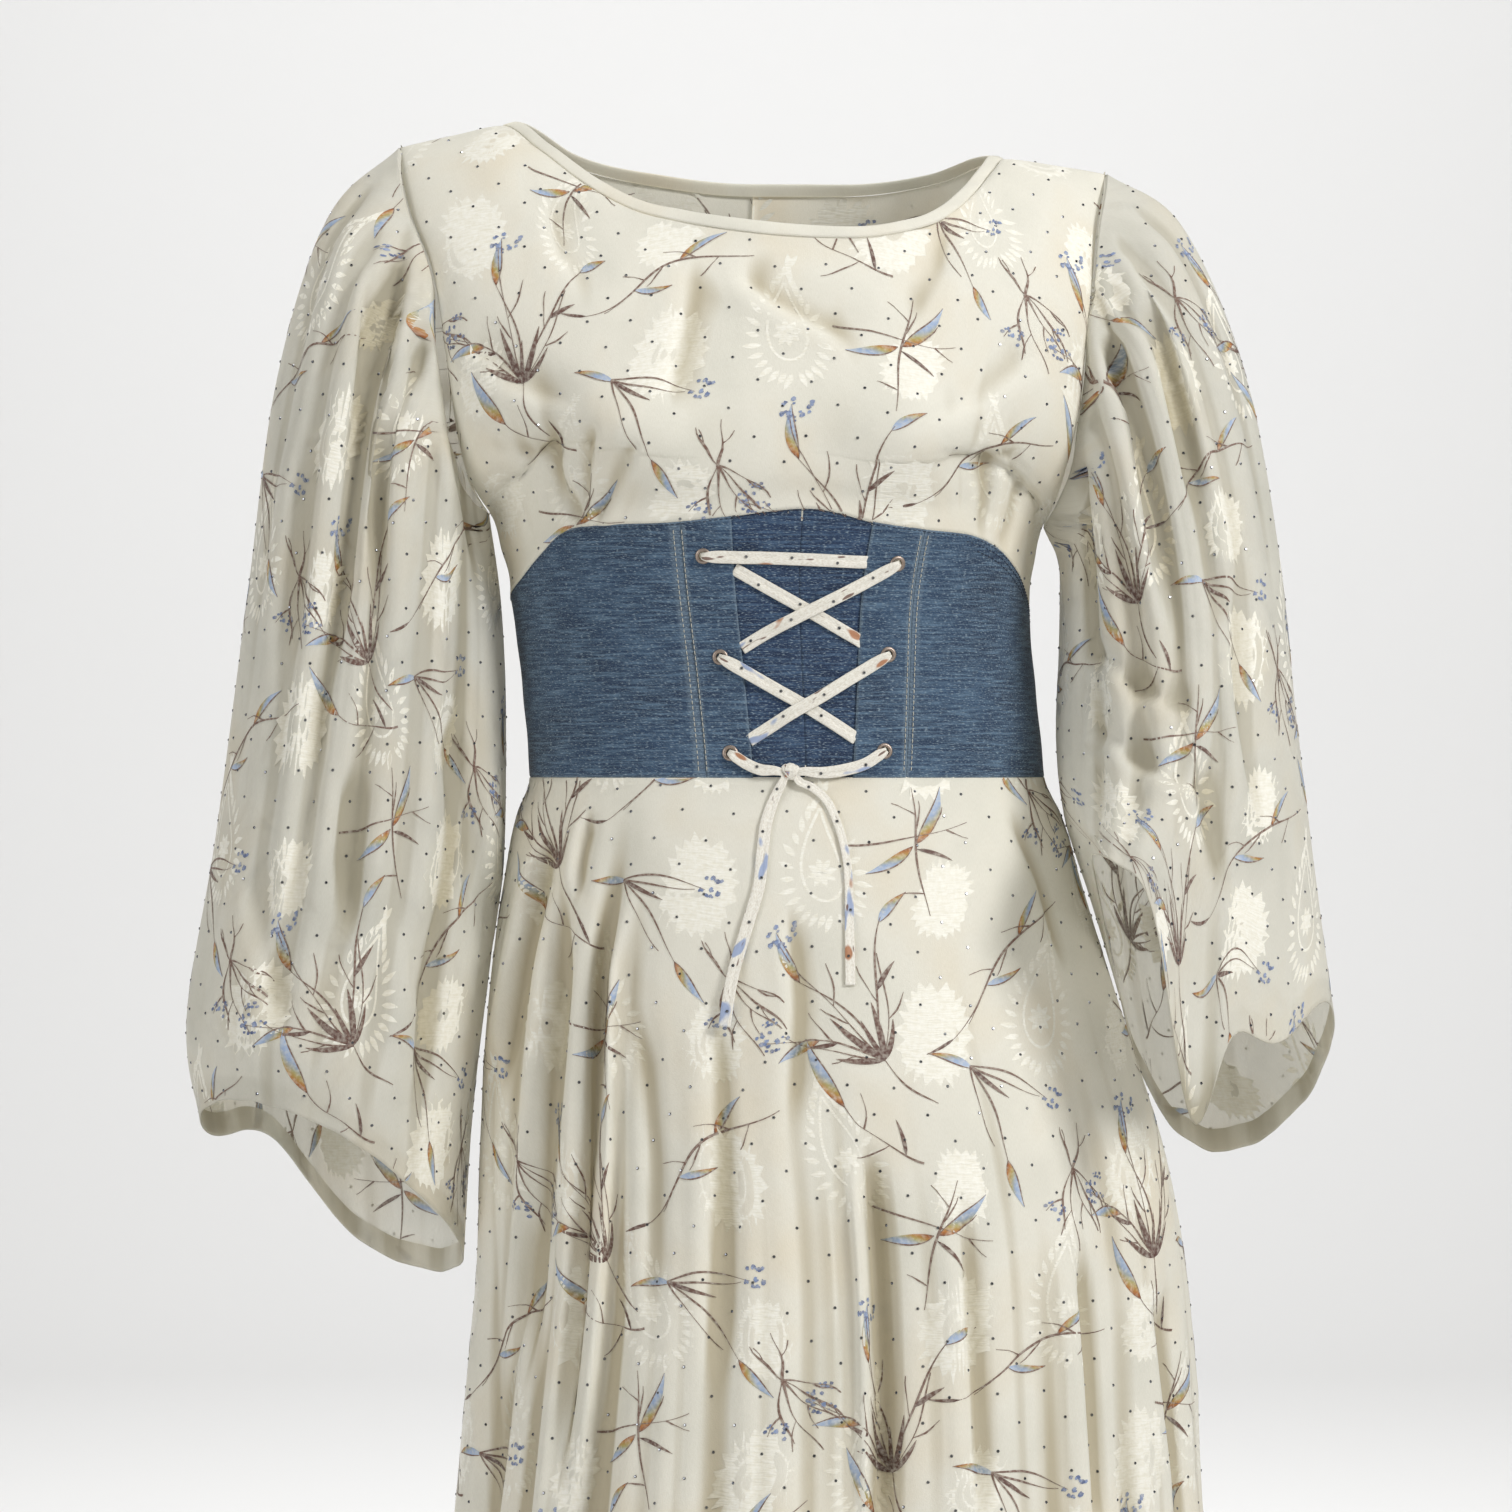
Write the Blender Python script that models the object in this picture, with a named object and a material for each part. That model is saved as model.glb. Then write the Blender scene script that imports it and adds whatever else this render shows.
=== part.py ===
"""Long-sleeved midi dress with a laced denim corset band, as worn and hollow.

Metres in Blender, +Z up. The front faces -Y and +X is on the right of someone looking at the
front. The origin is midway between the shoulders, at the height where they meet the neck.
Tables and sizes below are in millimetres and become metres when a mesh is made.
"""

import math

import bmesh
import bpy
import numpy as np
from mathutils import Matrix, Vector

MM = 0.001

# Driving sizes
CLOTH = 1.3
DENIM = 1.5
SEAM_GAP = 0.3
BAND_BOTTOM = -357.0
SKIRT_LENGTH = 823.0
HEM = BAND_BOTTOM - SKIRT_LENGTH
NECK_EDGE_WIDTH = 8.0
EYELET_OUTER = 8.7
EYELET_HOLE = 4.5
EYELET_RIM = 0.8
LACE_THICK = 1.5
LACE_STEP = 7.0
SECTION_POWER = 2.2
SLEEVE_COLUMNS = 40
SLEEVE_ROWS = 14
SKIRT_ROWS = 9

# Turn at which the neckline meets the shoulder seam, in degrees from the centre front
NECK_TURN = 43.4
NECK_CENTRE_X = -9.5

# Outer sections of the trunk and skirt: height, centre, half width, depth to front and to back
TRUNK = (
    # z, centre_x, half_width, front, back
    (-200.0, -2.0, 154.0, 114.0, 94.0),
    (-257.0, 0.0, 145.0, 105.0, 90.0),
    (-302.0, 4.5, 143.5, 101.0, 88.0),
    (-357.0, 9.5, 144.0, 102.0, 90.0),
    (-377.0, 10.5, 152.0, 109.0, 97.0),
    (-416.0, 12.5, 161.5, 120.0, 108.0),
    (-507.0, 21.5, 181.0, 141.0, 126.0),
    (-560.0, 28.5, 190.5, 153.0, 137.0),
    (-650.0, 34.5, 200.0, 172.0, 158.0),
    (-768.0, 34.5, 211.0, 195.0, 184.0),
    (-970.0, 40.0, 234.0, 226.0, 216.0),
    (-1180.0, 46.0, 254.0, 250.0, 242.0),
)

# Upper edge of the denim band round the body: turn from centre front, height
BAND_TOP = (
    (-90.0, -257.0),
    (-68.0, -246.0),
    (-56.0, -234.0),
    (-46.0, -222.5),
    (-33.0, -219.5),
    (-18.0, -218.5),
    (-8.0, -216.0),
    (6.5, -211.0),
    (22.0, -219.0),
    (33.0, -222.0),
    (47.0, -225.0),
    (58.0, -232.0),
    (68.0, -242.0),
    (90.0, -263.0),
    (130.0, -258.0),
    (180.0, -252.0),
    (230.0, -254.0),
    (270.0, -257.0),
)

# Seams of the band across the front: x at the upper and at the lower edge
BAND_SEAMS = {
    "flap_left_seam": (-49.4, -34.8),
    "flap_left_edge": (-21.3, -9.4),
    "centre": (17.6, 19.2),
    "flap_right_edge": (55.9, 44.6),
    "flap_right_seam": (84.5, 73.7),
}
CENTRE_UNDERLAP = 9.0

# Eyelet centres on the flaps: x, z
EYELETS = {
    "eyelet_left_1": (-36.4, -237.0),
    "eyelet_left_2": (-27.2, -291.5),
    "eyelet_left_3": (-21.8, -343.4),
    "eyelet_right_1": (68.9, -240.8),
    "eyelet_right_2": (64.0, -290.0),
    "eyelet_right_3": (61.9, -342.3),
}

# Edges of the bodice panels, side seam then armhole: height, x, y at the front, y at the back
EDGE_LEFT = (
    (-257.0, -145.0, 0.0, 0.0),
    (-235.0, -149.5, 0.0, 0.0),
    (-208.7, -157.0, 0.0, 0.0),
    (-206.2, -158.6, -12.0, 13.0),
    (-201.0, -162.0, -22.0, 24.0),
    (-189.5, -167.5, -34.0, 36.0),
    (-172.0, -171.5, -45.0, 47.0),
    (-124.0, -178.5, -52.0, 53.0),
    (-75.0, -187.0, -48.0, 47.0),
    (-42.0, -200.0, -34.0, 34.0),
    (-14.0, -206.5, -11.0, 19.0),
    (-3.0, -207.0, 5.0, 5.0),
)
EDGE_RIGHT = (
    (-263.0, 145.0, 0.0, 0.0),
    (-240.0, 147.5, 0.0, 0.0),
    (-216.5, 152.5, 0.0, 0.0),
    (-214.0, 153.6, -12.0, 13.0),
    (-209.0, 156.0, -22.0, 24.0),
    (-198.0, 160.0, -34.0, 36.0),
    (-181.0, 164.5, -45.0, 47.0),
    (-155.0, 170.0, -50.0, 51.0),
    (-127.0, 173.0, -52.0, 53.0),
    (-81.0, 178.0, -47.0, 46.0),
    (-48.0, 182.0, -30.0, 34.0),
    (-27.0, 186.5, -9.0, 19.0),
    (-18.0, 188.0, 5.0, 5.0),
)

# Rows of the bodice as shares of the way from the band to the shoulder, one at the underarm
UNDERARM_RISE = 0.19
RISES = (0.0, 0.08, UNDERARM_RISE, 0.20, 0.22, 0.265, 0.335, 0.44, 0.56, 0.68, 0.80, 0.90, 0.96, 1.0)

# Upper edges of the front and back: x, y, z from the left shoulder tip to the right one
TOP_FRONT = (
    (-207.0, 5.0, -3.0),
    (-175.0, 10.0, 4.5),
    (-150.0, 10.0, 9.3),
    (-130.0, -16.0, -6.0),
    (-102.0, -43.0, -29.0),
    (-74.0, -59.0, -45.0),
    (-51.0, -67.0, -51.5),
    (-2.0, -76.0, -59.5),
    (43.0, -76.0, -61.5),
    (78.0, -68.0, -56.0),
    (92.0, -61.0, -51.0),
    (114.0, -33.0, -32.0),
    (126.0, -6.0, -16.0),
    (131.0, 10.0, -9.5),
    (160.0, 10.0, -13.0),
    (188.0, 5.0, -18.0),
)
TOP_BACK = (
    (-207.0, 5.0, -3.0),
    (-175.0, 10.0, 4.5),
    (-150.0, 10.0, 9.3),
    (-116.0, 46.0, -7.0),
    (-62.0, 68.0, -19.0),
    (-9.5, 75.0, -24.0),
    (43.0, 68.0, -24.0),
    (97.0, 46.0, -18.0),
    (131.0, 10.0, -9.5),
    (160.0, 10.0, -13.0),
    (188.0, 5.0, -18.0),
)

# Depth of the bodice at the centre front and centre back by height
DEPTH_FRONT = ((-263.0, 106.0), (-211.0, 113.0), (-185.0, 118.0), (-155.0, 115.0),
               (-115.0, 102.0), (-85.0, 90.0), (-58.0, 76.0), (10.0, 60.0))
DEPTH_BACK = ((-258.0, 90.0), (-200.0, 97.0), (-140.0, 102.0), (-80.0, 94.0),
              (-24.0, 75.0), (10.0, 60.0))

# Bust cups: x, z, how far they stand out, spread across and up
CUPS = ((-78.0, -172.0, 13.0, 36.0, 30.0), (80.0, -174.0, 13.0, 36.0, 30.0))

# Gathers where the bodice is drawn into the band: turn, lean, depth, half width, length
GATHERS = (
    (-57.0, -10.0, 2.6, 2.6, 0.34),
    (-50.5, -5.0, 3.4, 2.4, 0.44),
    (-44.0, -1.0, 3.8, 2.4, 0.50),
    (-37.5, 3.0, 3.0, 2.6, 0.42),
    (-30.0, 6.0, 2.0, 3.0, 0.30),
    (36.0, -5.0, 2.2, 3.0, 0.30),
    (43.5, -2.0, 3.2, 2.6, 0.40),
    (50.5, 2.0, 3.4, 2.6, 0.42),
    (57.5, 7.0, 2.4, 2.8, 0.32),
)

# Folds of the skirt: turn at the waist, turn at the hem, depth at the hem, half width in
# degrees, height where the fold begins
SKIRT_FOLDS = (
    (-3.0, 0.5, 24.0, 5.5, -470.0),
    (7.0, 6.5, 40.0, 6.0, -520.0),
    (20.0, 22.0, 22.0, 7.0, -600.0),
    (33.0, 36.0, 34.0, 7.0, -560.0),
    (52.0, 53.0, 30.0, 7.5, -480.0),
    (68.0, 72.0, 34.0, 7.0, -600.0),
    (88.0, 92.0, 26.0, 8.0, -700.0),
    (106.0, 110.0, 40.0, 8.0, -420.0),
    (128.0, 132.0, 36.0, 8.0, -400.0),
    (150.0, 153.0, 38.0, 8.0, -430.0),
    (170.0, 171.0, 30.0, 7.0, -420.0),
    (190.0, 190.0, 32.0, 7.0, -420.0),
    (211.0, 208.0, 38.0, 8.0, -430.0),
    (233.0, 229.0, 36.0, 8.0, -400.0),
    (252.0, 250.0, 30.0, 8.0, -420.0),
    (300.0, 276.0, 34.0, 7.0, -366.0),
    (309.0, 295.0, 30.0, 6.0, -372.0),
    (325.0, 313.0, 44.0, 6.0, -366.0),
    (333.0, 328.0, 20.0, 5.0, -400.0),
    (343.0, 342.0, 24.0, 6.0, -420.0),
)

# Rings of each sleeve, from the armhole to the hem, each through four points:
# outer x and z, inner x and z, front x, y and z, back x, y and z
SLEEVE_LEFT_RINGS = (
    (-207.0, -3.0, -157.0, -208.7, -184.0, -52.0, -110.0, -184.0, 53.0, -110.0),
    (-246.0, -43.0, -150.0, -262.0, -203.0, -80.0, -140.0, -200.0, 74.0, -150.0),
    (-275.0, -135.0, -147.5, -330.0, -214.0, -94.0, -225.0, -212.0, 88.0, -235.0),
    (-291.5, -257.0, -148.5, -400.0, -222.0, -100.0, -325.0, -220.0, 94.0, -335.0),
    (-309.0, -390.0, -156.5, -462.0, -232.0, -107.0, -418.0, -232.0, 100.0, -440.0),
    (-325.0, -500.0, -166.5, -545.0, -245.0, -110.0, -497.0, -240.0, 100.0, -545.0),
    (-317.0, -555.0, -172.0, -620.0, -250.0, -97.0, -541.0, -236.0, 90.0, -628.0),
)
SLEEVE_RIGHT_RINGS = (
    (188.0, -18.0, 152.5, -216.5, 175.0, -52.0, -113.0, 175.0, 53.0, -113.0),
    (229.0, -48.0, 162.0, -244.0, 194.0, -84.0, -145.0, 192.0, 72.0, -152.0),
    (264.0, -132.0, 161.0, -288.0, 208.0, -102.0, -214.0, 208.0, 80.0, -232.0),
    (283.0, -235.0, 159.0, -332.0, 216.0, -116.0, -288.0, 220.0, 84.0, -325.0),
    (291.5, -325.0, 162.0, -372.0, 214.0, -136.0, -350.0, 230.0, 80.0, -425.0),
    (301.0, -415.0, 171.0, -402.0, 206.0, -158.0, -388.0, 238.0, 66.0, -505.0),
    (309.0, -484.0, 180.0, -428.0, 200.0, -168.0, -409.0, 243.0, 46.0, -568.0),
)

# Folds of the sleeves: turn at the armhole, turn at the hem (0 outer, 90 front, 180 inner),
# depth, half width in degrees, where along the sleeve it begins and ends
SLEEVE_LEFT_FOLDS = (
    (28.0, 34.0, 7.0, 8.0, 0.03, 0.62),
    (52.0, 54.0, 9.0, 7.0, 0.04, 0.80),
    (72.0, 72.0, 15.0, 7.0, 0.02, 0.86),
    (93.0, 90.0, 13.0, 7.0, 0.02, 0.92),
    (118.0, 112.0, 9.0, 8.0, 0.10, 1.00),
    (140.0, 136.0, 12.0, 9.0, 0.05, 1.00),
    (206.0, 210.0, 9.0, 9.0, 0.10, 1.00),
    (234.0, 238.0, 12.0, 9.0, 0.04, 0.95),
    (262.0, 264.0, 13.0, 8.0, 0.02, 0.90),
    (286.0, 288.0, 13.0, 8.0, 0.02, 0.90),
    (312.0, 310.0, 10.0, 8.0, 0.03, 0.75),
    (338.0, 334.0, 7.0, 8.0, 0.03, 0.60),
)
SLEEVE_RIGHT_FOLDS = (
    (26.0, 30.0, 6.0, 8.0, 0.03, 0.60),
    (48.0, 50.0, 8.0, 7.0, 0.02, 0.75),
    (68.0, 66.0, 11.0, 7.0, 0.02, 0.85),
    (88.0, 84.0, 13.0, 7.0, 0.02, 0.80),
    (110.0, 106.0, 11.0, 8.0, 0.03, 0.92),
    (136.0, 132.0, 9.0, 9.0, 0.08, 1.00),
    (208.0, 214.0, 9.0, 9.0, 0.10, 1.00),
    (236.0, 242.0, 12.0, 9.0, 0.04, 1.00),
    (264.0, 266.0, 13.0, 8.0, 0.02, 0.95),
    (290.0, 290.0, 12.0, 8.0, 0.02, 0.95),
    (314.0, 312.0, 10.0, 8.0, 0.03, 0.85),
    (338.0, 336.0, 6.0, 8.0, 0.03, 0.60),
)

# Lacing: the eyelet each strap comes out of, then x, z, distance out from the band's face, width
LACES = {
    "lace_bar": ("eyelet_left_1", (
        (-25.0, -237.4, 1.6, 7.0),
        (-17.0, -237.7, 1.4, 7.0),
        (-4.0, -238.1, -0.3, 7.0),
        (20.0, -239.0, -0.5, 7.0),
        (51.2, -240.3, -0.5, 6.6),
    )),
    "lace_cross_1_under": (None, (
        (-16.6, -245.8, -0.5, 7.0),
        (2.0, -256.2, -0.5, 7.0),
        (26.0, -269.6, -0.5, 7.0),
        (46.0, -281.1, -0.5, 7.0),
    )),
    "lace_cross_1_over": ("eyelet_right_1", (
        (58.0, -247.2, 1.6, 7.0),
        (49.0, -252.2, 1.5, 7.0),
        (30.0, -262.0, 1.6, 7.0),
        (12.0, -271.0, 1.5, 7.0),
        (-2.0, -278.5, -0.2, 7.0),
        (-11.4, -284.4, -0.5, 7.0),
    )),
    "lace_cross_2_under": ("eyelet_left_2", (
        (-17.0, -297.4, 1.6, 7.0),
        (-10.0, -301.5, 1.4, 7.0),
        (2.0, -308.4, -0.3, 7.0),
        (20.0, -318.6, -0.5, 7.0),
        (42.6, -333.0, -0.5, 7.0),
    )),
    "lace_cross_2_over": ("eyelet_right_2", (
        (53.0, -297.0, 1.6, 7.0),
        (44.0, -302.5, 1.6, 7.0),
        (27.0, -313.0, 1.7, 7.0),
        (12.0, -321.5, 1.5, 7.0),
        (1.0, -328.6, -0.2, 7.0),
        (-5.6, -333.0, -0.5, 7.0),
    )),
    "lace_tie_left": ("eyelet_left_3", (
        (-13.0, -349.2, 2.2, 6.2),
        (-5.0, -352.6, 3.0, 6.2),
        (3.6, -353.4, 3.6, 5.0),
    )),
    "lace_tie_right": ("eyelet_right_3", (
        (52.0, -348.8, 2.2, 6.4),
        (40.0, -352.6, 2.6, 6.6),
        (27.0, -354.2, 3.0, 6.2),
        (17.8, -353.6, 3.6, 5.0),
    )),
    "lace_tail_left": (None, (
        (6.6, -359.6, 3.4, 4.8),
        (3.4, -366.0, 2.2, 5.6),
        (-1.9, -380.0, 1.4, 6.6),
        (-4.4, -398.0, 1.4, 6.8),
        (-6.0, -414.0, 1.4, 6.8),
        (-12.0, -435.0, 1.4, 6.8),
        (-20.4, -464.0, 1.4, 6.8),
        (-24.5, -490.0, 1.4, 6.8),
    )),
    "lace_tail_right": (None, (
        (15.6, -359.4, 3.4, 4.6),
        (22.0, -362.5, 2.4, 4.8),
        (30.0, -369.5, 1.6, 4.8),
        (36.0, -382.0, 1.4, 4.6),
        (40.6, -400.0, 1.4, 4.6),
        (42.0, -420.0, 1.4, 4.8),
        (42.2, -440.0, 1.4, 5.2),
        (42.6, -468.0, 1.4, 5.6),
    )),
}

# The way out of an eyelet: distance along the strap, distance out, width
EYELET_EXIT = (
    (-0.9, -0.5, 3.0),
    (-0.7, 0.9, 3.2),
    (0.1, 2.1, 3.6),
    (1.6, 2.6, 4.4),
    (4.2, 2.5, 5.8),
)
KNOT = (10.7, -353.6)
KNOT_SIZE = (11.0, 6.4, 9.6)
KNOT_SINK = 0.4

# Concealed zip: the slider sits near the top of the centre-back seam
SLIDER_HEIGHT = -44.0
SLIDER_BODY = (5.0, 1.8, 8.0)
LUG = (0.9, 3.0, 2.2)
LUG_SPACING = 3.5
PIN_RADIUS = 0.6
PIN_RISE = 3.85
PULL_EYE_RADIUS = 1.35
PULL_BORE_RADIUS = 0.95
PULL_EYE_WIDTH = 2.0
PULL_LENGTH = 17.0
PULL_STEM = 6.0
PULL_GRIP_WIDTH = 4.6
PULL_THICK = 0.9
PULL_TILT = 8.0

FINISHES = {
    # name: colour, roughness, metallic
    "printed_cloth": ((0.82, 0.79, 0.69), 0.62, 0.0),
    "denim": ((0.035, 0.09, 0.19), 0.85, 0.0),
    "lace_cloth": ((0.80, 0.77, 0.68), 0.65, 0.0),
    "eyelet_metal": ((0.42, 0.34, 0.29), 0.30, 1.0),
    "zip_metal": ((0.70, 0.68, 0.62), 0.35, 1.0),
}


def smooth(keys, values, at):
    """Read a smooth curve through (keys, values) at the given places, never past the values."""
    keys = np.asarray(keys, float)
    values = np.asarray(values, float)
    slopes = np.gradient(values, keys, axis=0)
    steps = np.diff(values, axis=0) / np.diff(keys).reshape([-1] + [1] * (values.ndim - 1))
    before = np.concatenate([steps[:1], steps])
    after = np.concatenate([steps, steps[-1:]])
    limit = 3 * np.minimum(np.abs(before), np.abs(after))
    slopes = np.where(before * after > 0, np.clip(slopes, -limit, limit), 0)
    at = np.clip(np.asarray(at, float), keys[0], keys[-1])
    low = np.clip(np.searchsorted(keys, at, side="right") - 1, 0, len(keys) - 2)
    span = keys[low + 1] - keys[low]
    f = (at - keys[low]) / span
    if values.ndim > 1:
        f = f[..., None]
        span = span[..., None]
    start = (1 + 2 * f) * (1 - f) ** 2 * values[low] + f * (1 - f) ** 2 * span * slopes[low]
    end = f * f * (3 - 2 * f) * values[low + 1] + f * f * (f - 1) * span * slopes[low + 1]
    return start + end


def column(table, key, value, at):
    """One named column of a table, read smoothly by another."""
    rows = np.asarray(table, float)
    rows = rows[np.argsort(rows[:, key])]
    return smooth(rows[:, key], rows[:, value], at)


def rounded(share):
    """A sine or cosine made squarer, for a section between an ellipse and a box."""
    return np.sign(share) * np.abs(share) ** (2 / SECTION_POWER)


def ease(value, start, end):
    """A soft step from 0 at start to 1 at end."""
    f = np.clip((value - start) / (end - start), 0, 1)
    return f * f * (3 - 2 * f)


def band_top(turn):
    """Height of the band's upper edge at this turn from the centre front."""
    turn = (np.asarray(turn, float) + 90) % 360 - 90
    return column(BAND_TOP, 0, 1, turn)


def trunk_point(turn, z, out=0.0):
    """A point on the outside of the band or skirt, moved out by so much."""
    turn, z = np.broadcast_arrays(np.asarray(turn, float), np.asarray(z, float))
    centre, half, front, back = (column(TRUNK, 0, n, z) for n in (1, 2, 3, 4))
    angle = np.radians(turn)
    depth = np.where(np.cos(angle) > 0, front, back)
    x = centre + (half + out) * rounded(np.sin(angle))
    y = -(depth + out) * rounded(np.cos(angle))
    return np.stack([x, y, z], axis=-1)


def turn_at(x, z):
    """Turn of the point on the front of the trunk with this x and height."""
    share = (x - column(TRUNK, 0, 1, z)) / column(TRUNK, 0, 2, z)
    return math.degrees(math.asin(math.copysign(abs(share) ** (SECTION_POWER / 2), share)))


def front_frame(x, z):
    """Point on the front of the trunk and its outward direction."""
    turn = turn_at(x, z)
    here = trunk_point(turn, z)
    across = trunk_point(turn + 1, z) - trunk_point(turn - 1, z)
    up = trunk_point(turn, z + 2) - trunk_point(turn, z - 2)
    out = np.cross(across, up)
    return here, out / np.linalg.norm(out)


def bodice_point(back, turn, rise):
    """A point on the outside of the bodice. Turn runs from -90 at the left side to 90 at the
    right, and rise from 0 at the band to 1 at the neck or shoulder."""
    sign = 1.0 if back else -1.0
    side_y = 3 if back else 2
    top = TOP_BACK if back else TOP_FRONT
    across = rounded(np.sin(np.radians(turn)))
    forward = rounded(np.cos(np.radians(turn)))
    edges = []
    for table in (EDGE_LEFT, EDGE_RIGHT):
        z = table[0][0] + (table[-1][0] - table[0][0]) * rise
        edges.append((column(table, 0, 1, z), column(table, 0, side_y, z), z))
    left, right = edges
    share = (across + 1) / 2
    x = left[0] + (right[0] - left[0]) * share
    edge_depth = sign * (left[1] + (right[1] - left[1]) * share)
    top_x = EDGE_LEFT[-1][1] + (EDGE_RIGHT[-1][1] - EDGE_LEFT[-1][1]) * share
    top_y = column(top, 0, 1, top_x)
    top_z = column(top, 0, 2, top_x)
    low_z = band_top(180 - turn if back else turn)
    z = low_z + (top_z - low_z) * rise
    middle = column(DEPTH_BACK if back else DEPTH_FRONT, 0, 1, z)
    depth = edge_depth + (middle - edge_depth) * forward
    if not back:
        for cup_x, cup_z, height, wide, tall in CUPS:
            depth = depth + height * np.exp(-(((x - cup_x) / wide) ** 2) - ((z - cup_z) / tall) ** 2)
        depth = depth - gathers(turn, rise)
    to_top = 1 - np.sqrt(1 - np.clip(rise, 0, 1) ** 5)
    y = sign * depth * (1 - to_top) + top_y * to_top
    foot = trunk_point(180 - turn if back else turn, low_z + 0 * x)
    settle = ease(rise, 0.0, 0.12)
    return np.stack([foot[..., 0] * (1 - settle) + x * settle,
                     foot[..., 1] * (1 - settle) + y * settle, z], axis=-1)


def gathers(turn, rise):
    """How far the gathers above the band sink into the front."""
    sunk = 0.0
    for at, lean, depth, half, length in GATHERS:
        line = at + lean * rise / length
        fade = ease(rise, 0.0, 0.07) * (1 - ease(rise, 0.2 * length, length))
        sunk = sunk + depth * fade * np.exp(-(((turn - line) / (half * (1 + rise / length))) ** 2))
    return sunk


def skirt_point(turn, z):
    """A point on the outside of the skirt, with its folds."""
    sunk = 0.0
    for waist, hem, depth, half, start in SKIRT_FOLDS:
        down = np.clip((start - z) / (start - HEM), 0, 1)
        line = waist + (hem - waist) * ease(z, BAND_BOTTOM, HEM)
        away = (turn - line + 180) % 360 - 180
        sunk = sunk + depth * down**0.8 * np.exp(-((away / half) ** 2))
    return trunk_point(turn, z, -sunk)


def armhole_point(table, theta):
    """A point on the armhole, 0 at the shoulder tip, 90 in front, 180 under the arm."""
    tip = table[-1][0]
    underarm = table[0][0] + (tip - table[0][0]) * UNDERARM_RISE
    z = underarm + (tip - underarm) * (1 + math.cos(math.radians(theta))) / 2
    side = 2 if theta <= 180 else 3
    return np.array([column(table, 0, 1, z), column(table, 0, side, z), z], float)


def sleeve_grid(rings, folds, table, columns, rows):
    """Rows of points from the hem up to the armhole, each row a closed ring."""
    rings = np.asarray(rings, float)
    keys = np.arange(len(rings))
    grid = []
    for row in range(rows + 1):
        along = 1 - row / rows
        ring = smooth(keys, rings, along * (len(rings) - 1))
        centre = ring_point(ring, None)
        line = []
        for step in range(columns):
            theta = 360 * step / columns
            angle = math.radians(theta)
            fit = armhole_point(table, theta) - ring_point(rings[0], angle)
            point = ring_point(ring, angle) + fit * (1 - ease(along, 0.0, 0.30))
            sunk = sleeve_folds(folds, theta, along)
            inward = centre - point
            line.append(point + inward / np.linalg.norm(inward) * sunk)
        grid.append(line)
    return np.array(grid)


def ring_point(ring, angle):
    """The point at this angle of a sleeve's ring, or its centre where no angle is given."""
    middle_y = (ring[5] + ring[8]) / 2
    outer = np.array([ring[0], middle_y, ring[1]])
    inner = np.array([ring[2], middle_y, ring[3]])
    front, back = ring[4:7], ring[7:10]
    centre = (outer + inner + front + back) / 4
    if angle is None:
        return centre
    return (centre + (outer - inner) / 2 * math.cos(angle) + (front - back) / 2 * math.sin(angle)
            + (outer + inner - front - back) / 4 * math.cos(2 * angle))


def sleeve_folds(folds, theta, along):
    """How far the pleats and folds of a sleeve sink in at this place."""
    sunk = 0.0
    for top, hem, depth, half, start, end in folds:
        line = top + (hem - top) * along
        away = (theta - line + 180) % 360 - 180
        fade = ease(along, start, start + 0.10) * (1 - 0.75 * ease(along, end - 0.35, end))
        sunk += depth * fade * math.exp(-((away / half) ** 2))
    return sunk


def grid_normals(grid, closed):
    """Outward direction at each point of a grid whose rows run upwards."""
    if closed:
        along = np.roll(grid, -1, axis=1) - np.roll(grid, 1, axis=1)
    else:
        along = np.gradient(grid, axis=1)
    normals = np.cross(along, np.gradient(grid, axis=0))
    return normals / np.linalg.norm(normals, axis=-1, keepdims=True)


def pull_in(grid, sides, gap=SEAM_GAP / 2):
    """Draw the named edges of a grid back by half a seam gap."""
    grid = grid.copy()
    ends = {"bottom": (0, 1, 0), "top": (-1, -2, 0), "left": (0, 1, 1), "right": (-1, -2, 1)}
    for side in sides:
        edge, beside, axis = ends[side]
        rows = np.moveaxis(grid, axis, 0)
        step = rows[beside] - rows[edge]
        rows[edge] += gap * step / np.linalg.norm(step, axis=-1, keepdims=True)
    return grid


def cloth_wall(name, outer, thickness, finish, closed=False, normals=None):
    """A wall of cloth from its outer grid of points, thickness inwards, as one closed mesh."""
    if normals is None:
        normals = grid_normals(outer, closed)
    inner = outer - normals * thickness
    rows, columns = outer.shape[:2]
    points = np.concatenate([outer.reshape(-1, 3), inner.reshape(-1, 3)]) * MM
    index = np.arange(2 * rows * columns).reshape(2, rows, columns)
    if closed:
        index = np.concatenate([index, index[:, :, :1]], axis=2)
    out, back = index
    faces = quads(out[:-1, :-1], out[:-1, 1:], out[1:, 1:], out[1:, :-1])
    faces += quads(back[:-1, :-1], back[1:, :-1], back[1:, 1:], back[:-1, 1:])
    faces += quads(out[0, 1:], out[0, :-1], back[0, :-1], back[0, 1:])
    faces += quads(out[-1, :-1], out[-1, 1:], back[-1, 1:], back[-1, :-1])
    if not closed:
        faces += quads(out[:-1, 0], out[1:, 0], back[1:, 0], back[:-1, 0])
        faces += quads(out[1:, -1], out[:-1, -1], back[:-1, -1], back[1:, -1])
    mesh = bpy.data.meshes.new(name)
    mesh.from_pydata(points.tolist(), [], faces)
    mesh.shade_smooth()
    mesh.set_sharp_from_angle(angle=math.radians(50))
    return add_object(name, mesh, finish)


def quads(first, second, third, fourth):
    """Faces from four equal arrays of point numbers."""
    return np.stack([first, second, third, fourth], axis=-1).reshape(-1, 4).tolist()


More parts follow.
